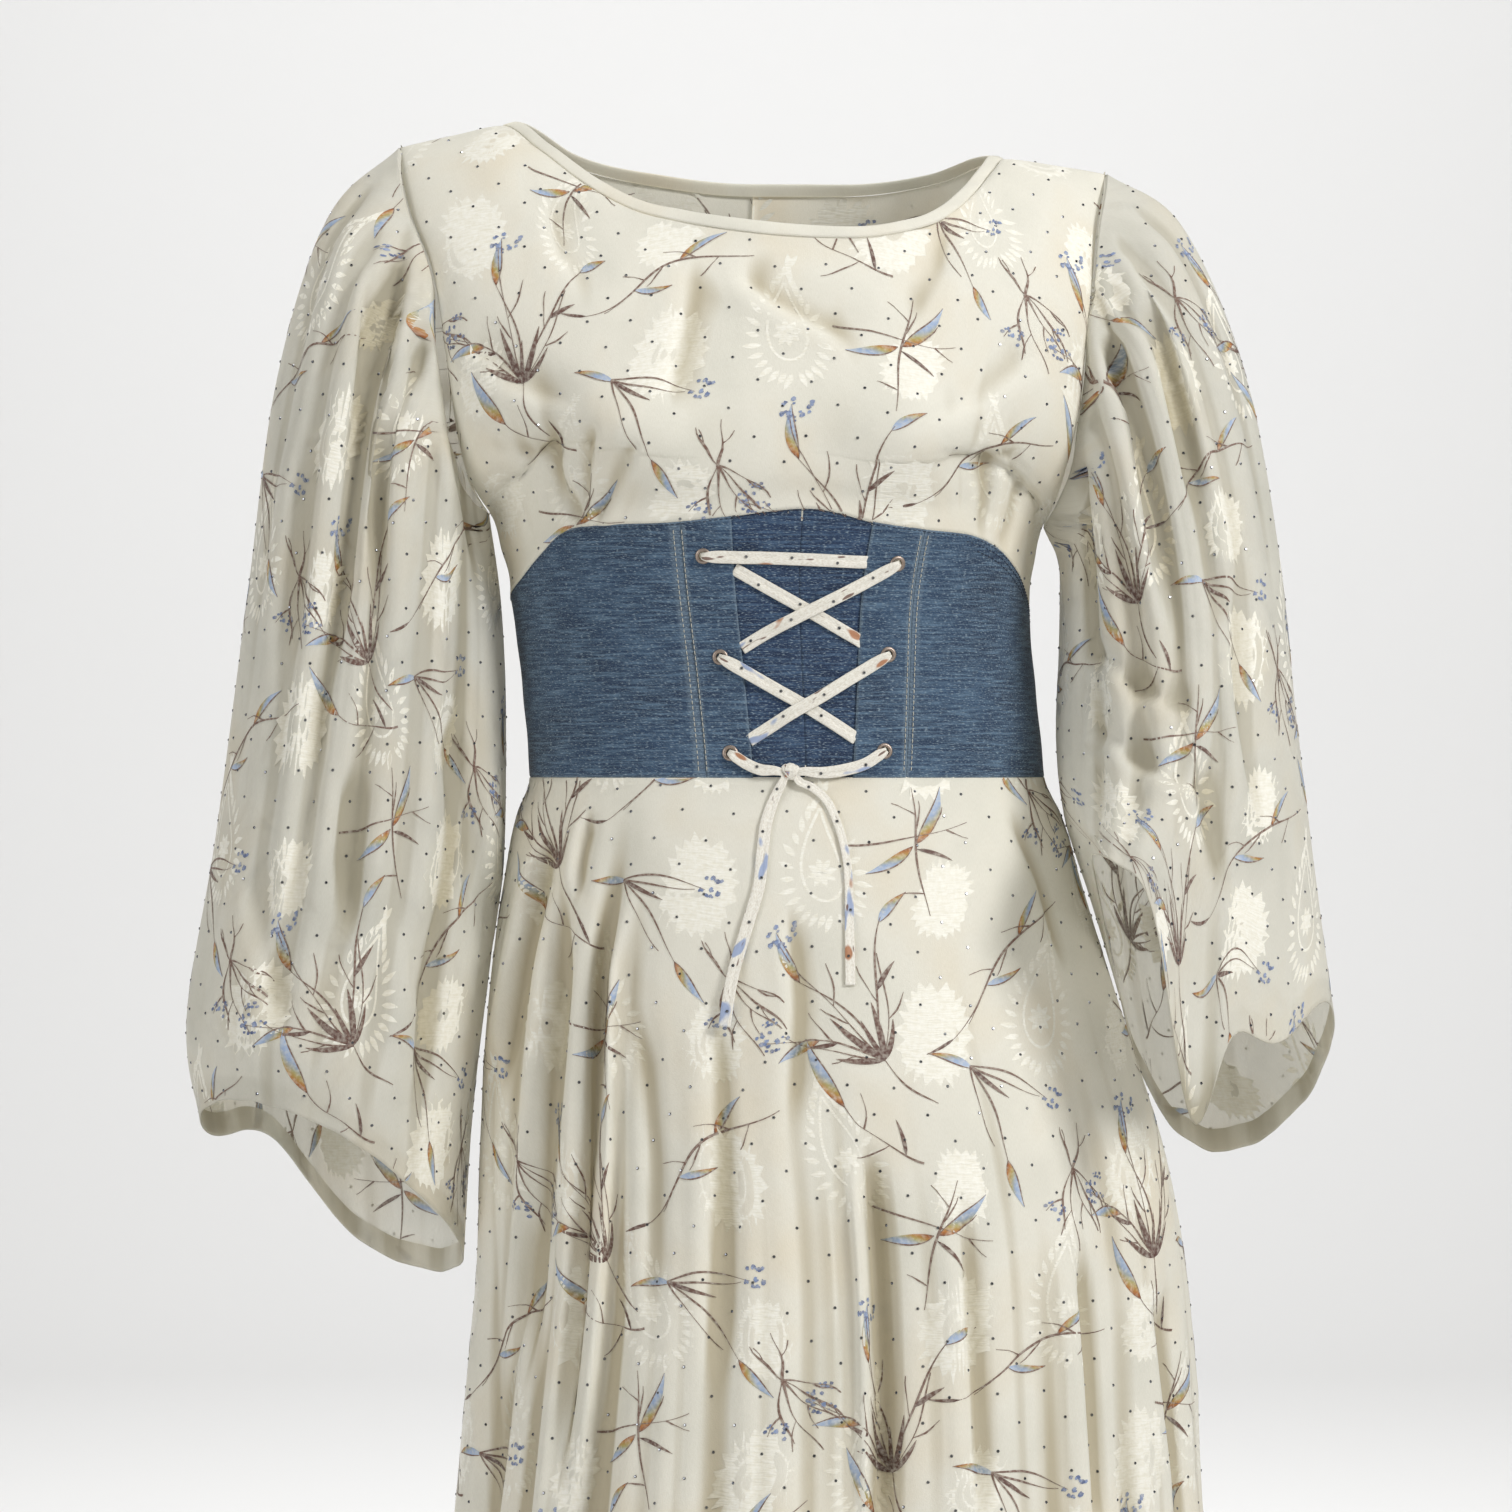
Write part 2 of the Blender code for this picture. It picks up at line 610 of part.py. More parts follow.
def add_object(name, data, finish, collection="midi_dress"):
    """Put a mesh in the scene under its name, with its finish."""
    thing = bpy.data.objects.new(name, data)
    data.materials.clear()
    data.materials.append(material(finish))
    bpy.data.collections[collection].objects.link(thing)
    return thing


def material(name):
    """The Principled material of this finish, made once."""
    found = bpy.data.materials.get(name)
    if found:
        return found
    colour, roughness, metallic = FINISHES[name]
    made = bpy.data.materials.new(name)
    made.use_nodes = True
    shader = made.node_tree.nodes["Principled BSDF"]
    shader.inputs["Base Color"].default_value = (*colour, 1)
    shader.inputs["Roughness"].default_value = roughness
    shader.inputs["Metallic"].default_value = metallic
    made.diffuse_color = (*colour, 1)
    return made


def clear_scene():
    """Remove every object and make the two collections."""
    for thing in list(bpy.data.objects):
        bpy.data.objects.remove(thing)
    for name in ("midi_dress", "cutters"):
        group = bpy.data.collections.new(name)
        bpy.context.scene.collection.children.link(group)
    bpy.data.collections["cutters"].hide_render = True


def bodice_turns():
    """Columns of the bodice, closer together at the sides, with one at each neck point."""
    side = np.linspace(-90, -NECK_TURN, 9)
    middle = np.linspace(-NECK_TURN, NECK_TURN, 15)[1:-1]
    return np.concatenate([side, middle, -side[::-1]])


def neck_lift(points):
    """Direction in which the neck's turned edge stands, at points of the neckline."""
    inward = np.stack([NECK_CENTRE_X - points[:, 0], -points[:, 1], 0 * points[:, 0]], axis=-1)
    inward /= np.linalg.norm(inward, axis=-1, keepdims=True)
    flat = 0.38 + 0.58 * inward[:, :1] ** 2
    return inward * flat + np.array([0, 0, 1.0]) * np.sqrt(1 - flat**2)


def bodice_panel(name, back, turns, sides):
    """One panel of the bodice, with its shoulder edge turned straight up."""
    grid = np.array([bodice_point(back, turns, rise) for rise in RISES])
    if back:
        grid = grid[:, ::-1]
        turns = turns[::-1]
    grid = pull_in(grid, sides)
    normals = grid_normals(grid, False)
    neck = np.cross(np.gradient(grid[-1], axis=0), neck_lift(grid[-1]))
    normals[-1] = neck / np.linalg.norm(neck, axis=-1, keepdims=True)
    shoulder = np.abs(turns) >= NECK_TURN - 0.1
    normals[-1, shoulder] = (0, 0, 1)
    normals[-2, shoulder] += (0, 0, 1)
    normals[-2, shoulder] /= np.linalg.norm(normals[-2, shoulder], axis=-1, keepdims=True)
    for edge, sign in ((0, -1 if not back else 1), (-1, 1 if not back else -1)):
        if abs(turns[edge]) > 89:
            normals[:3, edge] = (sign, 0, 0)
    return cloth_wall(name, grid, CLOTH, "printed_cloth", normals=normals)


def build_bodice():
    """The front, the two back halves and the turned edge of the neck."""
    turns = bodice_turns()
    bodice_panel("bodice_front", False, turns, ("bottom", "top", "left", "right"))
    left = turns[turns <= 0]
    right = turns[turns >= 0]
    bodice_panel("bodice_back_left", True, left, ("bottom", "top", "left", "right"))
    bodice_panel("bodice_back_right", True, right, ("bottom", "top", "left", "right"))
    neck = turns[np.abs(turns) <= NECK_TURN + 0.1]
    back = neck[::-1]
    zero = int(np.argmin(np.abs(back)))
    front_loop = bodice_point(False, neck, 1.0)
    back_loop = bodice_point(True, back, 1.0)
    loop = np.concatenate([back_loop[zero:-1], front_loop, back_loop[1:zero + 1]])
    lift = neck_lift(loop)
    grid = np.stack([loop + lift * 2 * SEAM_GAP, loop + lift * NECK_EDGE_WIDTH])
    grid = pull_in(grid, ("left", "right"))
    cloth_wall("neck_edge", grid, 1.6, "printed_cloth")


def build_sleeves():
    """Both sleeves, each a tube that starts just outside its armhole."""
    for name, rings, folds, table in (
        ("sleeve_left", SLEEVE_LEFT_RINGS, SLEEVE_LEFT_FOLDS, EDGE_LEFT),
        ("sleeve_right", SLEEVE_RIGHT_RINGS, SLEEVE_RIGHT_FOLDS, EDGE_RIGHT),
    ):
        grid = sleeve_grid(rings, folds, table, SLEEVE_COLUMNS, SLEEVE_ROWS)
        if name == "sleeve_right":
            grid = grid[:, ::-1] + (2 * SEAM_GAP, 0, 0)
        else:
            grid = grid - (2 * SEAM_GAP, 0, 0)
        grid = pull_in(grid, ("top",), SEAM_GAP)
        normals = grid_normals(grid, True)
        across = (grid[-1] - grid[-1].mean(axis=0)) * (0, 1, 1)
        normals[-1] = across / np.linalg.norm(across, axis=-1, keepdims=True)
        cloth_wall(name, grid, CLOTH, "printed_cloth", closed=True, normals=normals)


def band_grid(first, last, columns, rows, out):
    """Points of a band panel between two seams, each given as its upper and lower turn."""
    grid = []
    for row in range(rows + 1):
        up = row / rows
        line = []
        for step in range(columns + 1):
            share = step / columns
            top_turn = first[0] + (last[0] - first[0]) * share
            low_turn = first[1] + (last[1] - first[1]) * share
            low = BAND_BOTTOM + SEAM_GAP
            z = low + (band_top(top_turn) - SEAM_GAP - low) * up
            line.append(trunk_point(low_turn + (top_turn - low_turn) * up, z, out))
        grid.append(line)
    return np.array(grid)


def seam_turns(name, shift=0.0):
    """Upper and lower turn of a front seam of the band, moved sideways by so much."""
    top_x, low_x = BAND_SEAMS[name]
    return turn_at(top_x + shift, -216.0), turn_at(low_x + shift, BAND_BOTTOM)


def build_band():
    """The denim band: a panel under the lacing, two eyelet flaps, sides and back."""
    under = -(DENIM + SEAM_GAP)
    left_end = seam_turns("flap_left_edge", -CENTRE_UNDERLAP)
    right_end = seam_turns("flap_right_edge", CENTRE_UNDERLAP)
    middle = seam_turns("centre")
    panels = (
        ("corset_centre_left", left_end, middle, 4, 8, under),
        ("corset_centre_right", middle, right_end, 4, 8, under),
        ("corset_flap_left", seam_turns("flap_left_seam"), seam_turns("flap_left_edge"), 4, 8, 0.0),
        ("corset_flap_right", seam_turns("flap_right_edge"), seam_turns("flap_right_seam"), 4, 8, 0.0),
        ("corset_side_left", (-90.0, -90.0), seam_turns("flap_left_seam"), 11, 4, 0.0),
        ("corset_side_right", seam_turns("flap_right_seam"), (90.0, 90.0), 10, 4, 0.0),
        ("corset_back_right", (90.0, 90.0), (180.0, 180.0), 9, 4, 0.0),
        ("corset_back_left", (180.0, 180.0), (270.0, 270.0), 9, 4, 0.0),
    )
    for name, first, last, columns, rows, out in panels:
        grid = pull_in(band_grid(first, last, columns, rows, out), ("left", "right"))
        cloth_wall(name, grid, DENIM, "denim")


def turned(name, profile, steps, matrix, finish):
    """A turned ring from a closed profile of (radius, height), set at a matrix."""
    mesh = bpy.data.meshes.new(name)
    points = []
    faces = []
    count = len(profile)
    for step in range(steps):
        angle = 2 * math.pi * step / steps
        for radius, height in profile:
            points.append((radius * math.cos(angle) * MM, radius * math.sin(angle) * MM, height * MM))
    for step in range(steps):
        after = (step + 1) % steps
        for n in range(count):
            m = (n + 1) % count
            faces.append((step * count + n, after * count + n, after * count + m, step * count + m))
    mesh.from_pydata(points, [], faces)
    mesh.shade_smooth()
    mesh.set_sharp_from_angle(angle=math.radians(40))
    thing = add_object(name, mesh, finish)
    thing.matrix_world = matrix
    return thing


def frame_matrix(point, out):
    """A matrix in metres whose Z is the outward direction and whose X lies level."""
    z = Vector(out).normalized()
    x = Vector((0, 0, 1)).cross(z).normalized()
    y = z.cross(x)
    matrix = Matrix((x, y, z)).transposed().to_4x4()
    matrix.translation = Vector(point) * MM
    return matrix


def build_eyelets():
    """Eyelets with a rim on the face, a barrel through the flap and a washer behind."""
    bore = EYELET_HOLE / 2
    barrel = bore + 0.45
    outer = EYELET_OUTER / 2
    top = SEAM_GAP + EYELET_RIM
    profile = (
        (bore, -DENIM + 0.2),
        (barrel, -DENIM + 0.2),
        (barrel, SEAM_GAP),
        (outer, SEAM_GAP),
        (outer - 0.35, top - 0.15),
        (outer - 1.2, top),
        (bore, top - 0.35),
    )
    for name, (x, z) in EYELETS.items():
        point, out = front_frame(x, z)
        matrix = frame_matrix(point, out)
        turned(name, profile, 12, matrix, "eyelet_metal")
        mesh = bpy.data.meshes.new(name + "_hole")
        tool = bmesh.new()
        bmesh.ops.create_cone(tool, cap_ends=True, segments=16, radius1=(barrel + 0.3) * MM,
                              radius2=(barrel + 0.3) * MM, depth=6 * MM)
        tool.to_mesh(mesh)
        tool.free()
        cutter = add_object(name + "_hole", mesh, "denim", "cutters")
        cutter.matrix_world = matrix
        cutter.hide_render = True
        cutter.display_type = "WIRE"
        flap = bpy.data.objects["corset_flap_left" if "left" in name else "corset_flap_right"]
        cut = flap.modifiers.new(name, "BOOLEAN")
        cut.operation = "DIFFERENCE"
        cut.object = cutter


def lace_route(eyelet, rows):
    """Smooth points, outward directions and widths along a lace."""
    rows = list(rows)
    if eyelet:
        x, z = EYELETS[eyelet]
        heading = np.array([rows[0][0] - x, rows[0][1] - z])
        heading /= np.linalg.norm(heading)
        rows = [(x + heading[0] * along, z + heading[1] * along, out, width)
                for along, out, width in EYELET_EXIT] + rows
    rows = np.asarray(rows, float)
    run = np.concatenate([[0], np.cumsum(np.linalg.norm(np.diff(rows[:, :3], axis=0), axis=1))])
    exit_run = run[len(EYELET_EXIT) - 1] if eyelet else 0.0
    start = np.linspace(0, exit_run, 9)[:-1] if eyelet else np.empty(0)
    rest = np.linspace(exit_run, run[-1], max(8, int((run[-1] - exit_run) / LACE_STEP)))
    fine = smooth(run, rows, np.concatenate([start, rest]))
    points = []
    outs = []
    for x, z, out, _ in fine:
        point, direction = front_frame(x, z)
        points.append(point + direction * out)
        outs.append(direction)
    return np.array(points), np.array(outs), fine[:, 3]


def flat_tube(name, eyelet, rows, finish):
    """A flat lace along its route, with closed ends."""
    points, outs, widths = lace_route(eyelet, rows)
    tangents = np.gradient(points, axis=0)
    tangents /= np.linalg.norm(tangents, axis=1, keepdims=True)
    ahead = points[np.minimum(np.arange(len(points)) + 3, len(points) - 1)]
    behind = points[np.maximum(np.arange(len(points)) - 3, 0)]
    sides = np.cross(outs, ahead - behind)
    sides /= np.linalg.norm(sides, axis=1, keepdims=True)
    ups = np.cross(tangents, sides)
    rim = ((-0.5, 0.0), (-0.36, -0.5), (0.36, -0.5), (0.5, 0.0), (0.36, 0.5), (-0.36, 0.5))
    ring = []
    for point, side, up, width in zip(points, sides, ups, widths):
        thick = min(LACE_THICK, width * 0.42)
        ring.append([point + side * u * width + up * v * thick for u, v in rim])
    ring = np.array(ring)
    count, size = ring.shape[:2]
    index = np.arange(count * size).reshape(count, size)
    around = np.concatenate([index, index[:, :1]], axis=1)
    faces = quads(around[:-1, :-1], around[1:, :-1], around[1:, 1:], around[:-1, 1:])
    faces += [index[0].tolist(), index[-1][::-1].tolist()]
    mesh = bpy.data.meshes.new(name)
    mesh.from_pydata((ring.reshape(-1, 3) * MM).tolist(), [], faces)
    check = bmesh.new()
    check.from_mesh(mesh)
    bmesh.ops.recalc_face_normals(check, faces=check.faces)
    check.to_mesh(mesh)
    check.free()
    mesh.shade_smooth()
    mesh.set_sharp_from_angle(angle=math.radians(60))
    return add_object(name, mesh, finish)


def build_lacing():
    """The straps between the flaps, the tied ends, the knot and the two tails."""
    for name, (eyelet, rows) in LACES.items():
        flat_tube(name, eyelet, rows, "lace_cloth")
    point, out = front_frame(*KNOT)
    centre = point + out * (KNOT_SIZE[1] / 2 - KNOT_SINK)
    mesh = bpy.data.meshes.new("lace_knot")
    ball = bmesh.new()
    bmesh.ops.create_uvsphere(ball, u_segments=14, v_segments=8, radius=0.5)
    half = [size * MM for size in KNOT_SIZE]
    bmesh.ops.scale(ball, vec=half, verts=ball.verts)
    ball.to_mesh(mesh)
    ball.free()
    mesh.shade_smooth()
    add_object("lace_knot", mesh, "lace_cloth").location = Vector(centre) * MM


def build_skirt():
    """The three flared panels of the skirt."""
    heights = HEM + (BAND_BOTTOM - HEM) * np.linspace(0, 1, SKIRT_ROWS + 1)
    for name, first, last, columns in (
        ("skirt_front", -90.0, 90.0, 50),
        ("skirt_back_right", 90.0, 180.0, 22),
        ("skirt_back_left", 180.0, 270.0, 22),
    ):
        step = (last - first) / columns
        turns = np.linspace(first - step, last + step, columns + 3)
        wide = np.array([skirt_point(turns, z) for z in heights])
        normals = grid_normals(wide, False)[:, 1:-1]
        grid = pull_in(wide[:, 1:-1], ("left", "right", "top"))
        cloth_wall(name, grid, CLOTH, "printed_cloth", normals=normals)


def back_frame(z):
    """Matrix at the centre back with X level, Y outwards and Z up along the cloth."""
    low, here, high = (bodice_point(True, np.array([0.0]), rise)[0]
                       for rise in rises_about(z))
    up = Vector(high - low).normalized()
    x = Vector((1, 0, 0))
    out = up.cross(x).normalized()
    matrix = Matrix((x, out, up)).transposed().to_4x4()
    matrix.translation = Vector(here) * MM
    return matrix


def rises_about(z):
    """The rises just below, at and just above this height on the centre back."""
    low = float(band_top(180.0))
    top = float(column(TOP_BACK, 0, 2, -9.5))
    rise = (z - low) / (top - low)
    return rise - 0.02, rise, rise + 0.02


def box(tool, size, centre):
    """Add a box to a bmesh, sizes in millimetres."""
    made = bmesh.ops.create_cube(tool, size=1.0)["verts"]
    bmesh.ops.scale(tool, vec=[length * MM for length in size], verts=made)
    bmesh.ops.translate(tool, vec=[length * MM for length in centre], verts=made)


def rod(tool, radius, length, centre, segments=16):
    """Add a rod along X to a bmesh, sizes in millimetres."""
    turn = Matrix.Rotation(math.pi / 2, 4, "Y")
    made = bmesh.ops.create_cone(tool, cap_ends=True, segments=segments, radius1=radius * MM,
                                 radius2=radius * MM, depth=length * MM, matrix=turn)["verts"]
    bmesh.ops.translate(tool, vec=[value * MM for value in centre], verts=made)


def joined(name, shapes, matrix, finish, bores=None):
    """One solid from several simple shapes by union, less its bores."""
    things = []
    for number, (kind, values) in enumerate(shapes + (bores or [])):
        tool = bmesh.new()
        kind(tool, *values)
        mesh = bpy.data.meshes.new(name)
        tool.to_mesh(mesh)
        tool.free()
        first = number == 0
        label = name if first else f"{name}_shape_{number}"
        thing = add_object(label, mesh, finish, "midi_dress" if first else "cutters")
        thing.matrix_world = matrix
        things.append(thing)
    for number, other in enumerate(things[1:], start=1):
        other.hide_render = True
        other.display_type = "WIRE"
        step = things[0].modifiers.new(other.name, "BOOLEAN")
        step.operation = "UNION" if number < len(shapes) else "DIFFERENCE"
        step.object = other
    return things[0]


def build_zip():
    """The slider of the concealed zip, and the pull that hangs on its pin."""
    frame = back_frame(SLIDER_HEIGHT)
    base = SEAM_GAP + SLIDER_BODY[1] / 2
    lug_y = SEAM_GAP + SLIDER_BODY[1] + LUG[1] / 2 - 0.3
    side = LUG_SPACING / 2
    joined("zip_slider", [
        (box, (SLIDER_BODY, (0, base, -1.5))),
        (box, (LUG, (-side, lug_y, 0))),
        (box, (LUG, (side, lug_y, 0))),
        (rod, (PIN_RADIUS, LUG_SPACING, (0, PIN_RISE, 0))),
    ], frame, "zip_metal")
    hinge = frame @ Matrix.Translation((0, PIN_RISE * MM, 0))
    hinge = hinge @ Matrix.Rotation(math.radians(-PULL_TILT), 4, "X")
    grip = PULL_LENGTH - PULL_STEM
    joined("zip_pull", [
        (rod, (PULL_EYE_RADIUS, PULL_EYE_WIDTH, (0, 0, 0))),
        (box, ((PULL_EYE_WIDTH, PULL_THICK, PULL_STEM), (0, 0, -1.1 - PULL_STEM / 2))),
        (box, ((PULL_GRIP_WIDTH, PULL_THICK, grip), (0, 0, -PULL_LENGTH + grip / 2))),
    ], hinge, "zip_metal", [(rod, (PULL_BORE_RADIUS, 4.0, (0, 0, 0)))])


def main():
    """Build the whole dress."""
    clear_scene()
    build_bodice()
    build_sleeves()
    build_band()
    build_eyelets()
    build_lacing()
    build_skirt()
    build_zip()


main()
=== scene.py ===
import logging
import math
from dataclasses import dataclass, field
from enum import Enum

import bpy
import numpy as np
from mathutils import Matrix, Vector
from mathutils.bvhtree import BVHTree


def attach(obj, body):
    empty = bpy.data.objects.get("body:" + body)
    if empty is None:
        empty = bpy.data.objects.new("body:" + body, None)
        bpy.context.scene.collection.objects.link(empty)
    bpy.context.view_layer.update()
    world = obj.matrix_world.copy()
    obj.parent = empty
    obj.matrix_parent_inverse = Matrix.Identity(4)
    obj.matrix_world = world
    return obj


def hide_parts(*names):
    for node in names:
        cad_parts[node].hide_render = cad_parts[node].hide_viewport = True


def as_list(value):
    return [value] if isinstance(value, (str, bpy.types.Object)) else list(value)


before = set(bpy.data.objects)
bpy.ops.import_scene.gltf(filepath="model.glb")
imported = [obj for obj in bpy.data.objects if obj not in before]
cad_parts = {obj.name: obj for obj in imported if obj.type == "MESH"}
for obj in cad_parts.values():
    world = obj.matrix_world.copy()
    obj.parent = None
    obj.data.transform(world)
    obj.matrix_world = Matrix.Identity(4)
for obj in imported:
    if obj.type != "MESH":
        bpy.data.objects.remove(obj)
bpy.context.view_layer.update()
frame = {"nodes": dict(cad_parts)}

log = logging.getLogger("midi_dress")
MM = 0.001
DRESS = "dress"
Rows = tuple[tuple[float, ...], ...]


def srgb(red: float, green: float, blue: float) -> tuple[float, float, float]:
    """Linear colour of an 8-bit screen colour."""
    return tuple(((c / 255 + 0.055) / 1.055) ** 2.4 if c > 10 else c / 255 / 12.92 for c in (red, green, blue))


def photo_point(px: float, py: float, depth: float = -100.0) -> tuple[float, float]:
    """Place of a pixel of the photograph on the dress.

    Args:
        px: Pixels from the left edge of the 1512 pixel image.
        py: Pixels from its top edge.
        depth: How far forward the cloth is there, as y in millimetres.

    Returns:
        x and z in millimetres.
    """
    scale = 0.56 * (1 + depth / 3000)
    return -7.84 + (px - 756) * scale, -345 + (756 - py) * scale


def smooth(keys: np.ndarray, values: np.ndarray, at: np.ndarray) -> np.ndarray:
    """Read a smooth curve that never swings past its values.

    Args:
        keys: Rising places where the values are known.
        values: One value, or one row of values, for each key.
        at: Places to read.

    Returns:
        The values there.
    """
    keys = np.asarray(keys, float)
    values = np.asarray(values, float)
    slopes = np.gradient(values, keys, axis=0)
    steps = np.diff(values, axis=0) / np.diff(keys).reshape([-1] + [1] * (values.ndim - 1))
    before = np.concatenate([steps[:1], steps])
    after = np.concatenate([steps, steps[-1:]])
    limit = 3 * np.minimum(np.abs(before), np.abs(after))
    slopes = np.where(before * after > 0, np.clip(slopes, -limit, limit), 0)
    at = np.clip(np.asarray(at, float), keys[0], keys[-1])
    low = np.clip(np.searchsorted(keys, at, side="right") - 1, 0, len(keys) - 2)
    span = keys[low + 1] - keys[low]
    f = (at - keys[low]) / span
    if values.ndim > 1:
        f = f[..., None]
        span = span[..., None]
    start = (1 + 2 * f) * (1 - f) ** 2 * values[low] + f * (1 - f) ** 2 * span * slopes[low]
    end = f * f * (3 - 2 * f) * values[low + 1] + f * f * (f - 1) * span * slopes[low + 1]
    return start + end


def column(table: Rows, key: int, value: int, at: np.ndarray) -> np.ndarray:
    """One column of a table, read smoothly by another."""
    rows = np.asarray(table, float)
    rows = rows[np.argsort(rows[:, key])]
    return smooth(rows[:, key], rows[:, value], at)


def ease(value: np.ndarray, start: float, end: float) -> np.ndarray:
    """A soft step from 0 at start to 1 at end."""
    f = np.clip((value - start) / (end - start), 0, 1)
    return f * f * (3 - 2 * f)


def unit(vectors: np.ndarray) -> np.ndarray:
    """The vectors at length 1."""
    return vectors / np.maximum(np.linalg.norm(vectors, axis=-1, keepdims=True), 1e-9)


def even_columns(grid: np.ndarray, columns: int) -> np.ndarray:
    """Choose columns that are evenly spaced over the whole grid, the same ones in every row.

    Args:
        grid: Rows of points in millimetres.
        columns: Points wanted in each row.

    Returns:
        The new grid.
    """
    steps = np.linalg.norm(np.diff(grid, axis=1), axis=-1).mean(axis=0)
    run = np.concatenate([[0], np.cumsum(steps)])
    at = np.interp(np.linspace(0, run[-1], columns), run, np.arange(len(run)))
    low = np.minimum(at.astype(int), len(run) - 2)
    share = (at - low)[None, :, None]
    return grid[:, low] * (1 - share) + grid[:, low + 1] * share


def softened(values: np.ndarray, reach: int) -> np.ndarray:
    """Average each column of values over so many rows above and below."""
    weights = np.hanning(2 * reach + 3)[1:-1]
    weights = weights / weights.sum()
    padded = np.concatenate([np.repeat(values[:1], reach, axis=0), values, np.repeat(values[-1:], reach, axis=0)])
    return sum(weight * padded[n:n + len(values)] for n, weight in enumerate(weights))


def grid_normals(grid: np.ndarray, closed: bool) -> np.ndarray:
    """Outward direction at each point of a grid whose rows run upwards."""
    if closed:
        ring = grid[:, :-1]
        along = np.roll(ring, -1, axis=1) - np.roll(ring, 1, axis=1)
        along = np.concatenate([along, along[:, :1]], axis=1)
    else:
        along = np.gradient(grid, axis=1)
    return unit(np.cross(along, np.gradient(grid, axis=0)))


def quads(first: np.ndarray, second: np.ndarray, third: np.ndarray, fourth: np.ndarray) -> np.ndarray:
    """Faces from four equal arrays of point numbers."""
    return np.stack([first, second, third, fourth], axis=-1).reshape(-1, 4)


def make_piece(
    name: str,
    points: np.ndarray,
    faces: list,
    material: bpy.types.Material,
    flat: np.ndarray | None = None,
    ink: np.ndarray | None = None,
    flat_shaded: bool = False,
) -> bpy.types.Object:
    """Put a mesh in the scene, riding on the dress.

    Args:
        name: Name of the piece.
        points: Points in millimetres.
        faces: Point numbers of each face.
        material: Its finish.
        flat: Place of each point on the flat cloth in millimetres, kept as the UV map in metres.
        ink: Linear colour of each point, darkened by painted shade in the folds, kept as the attribute "ink".
        flat_shaded: True for faceted pieces.

    Returns:
        The new object.
    """
    mesh = bpy.data.meshes.new(name)
    mesh.from_pydata((points * MM).tolist(), [], faces if isinstance(faces, list) else faces.tolist())
    if not flat_shaded:
        mesh.shade_smooth()
    if flat is not None:
        corners = np.empty(len(mesh.loops), np.int32)
        mesh.loops.foreach_get("vertex_index", corners)
        layer = mesh.uv_layers.new(name="UVMap")
        layer.data.foreach_set("uv", (flat[corners] * MM).astype(np.float32).ravel())
    if ink is not None:
        colour = mesh.color_attributes.new("ink", "FLOAT_COLOR", "POINT")
        rgba = np.concatenate([ink, np.ones((len(ink), 1))], axis=1)
        colour.data.foreach_set("color", rgba.astype(np.float32).ravel())
    mesh.materials.append(material)
    piece = bpy.data.objects.new(name, mesh)
    bpy.context.scene.collection.objects.link(piece)
    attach(piece, DRESS)
    log.info("%s: %d faces", name, len(mesh.polygons))
    return piece


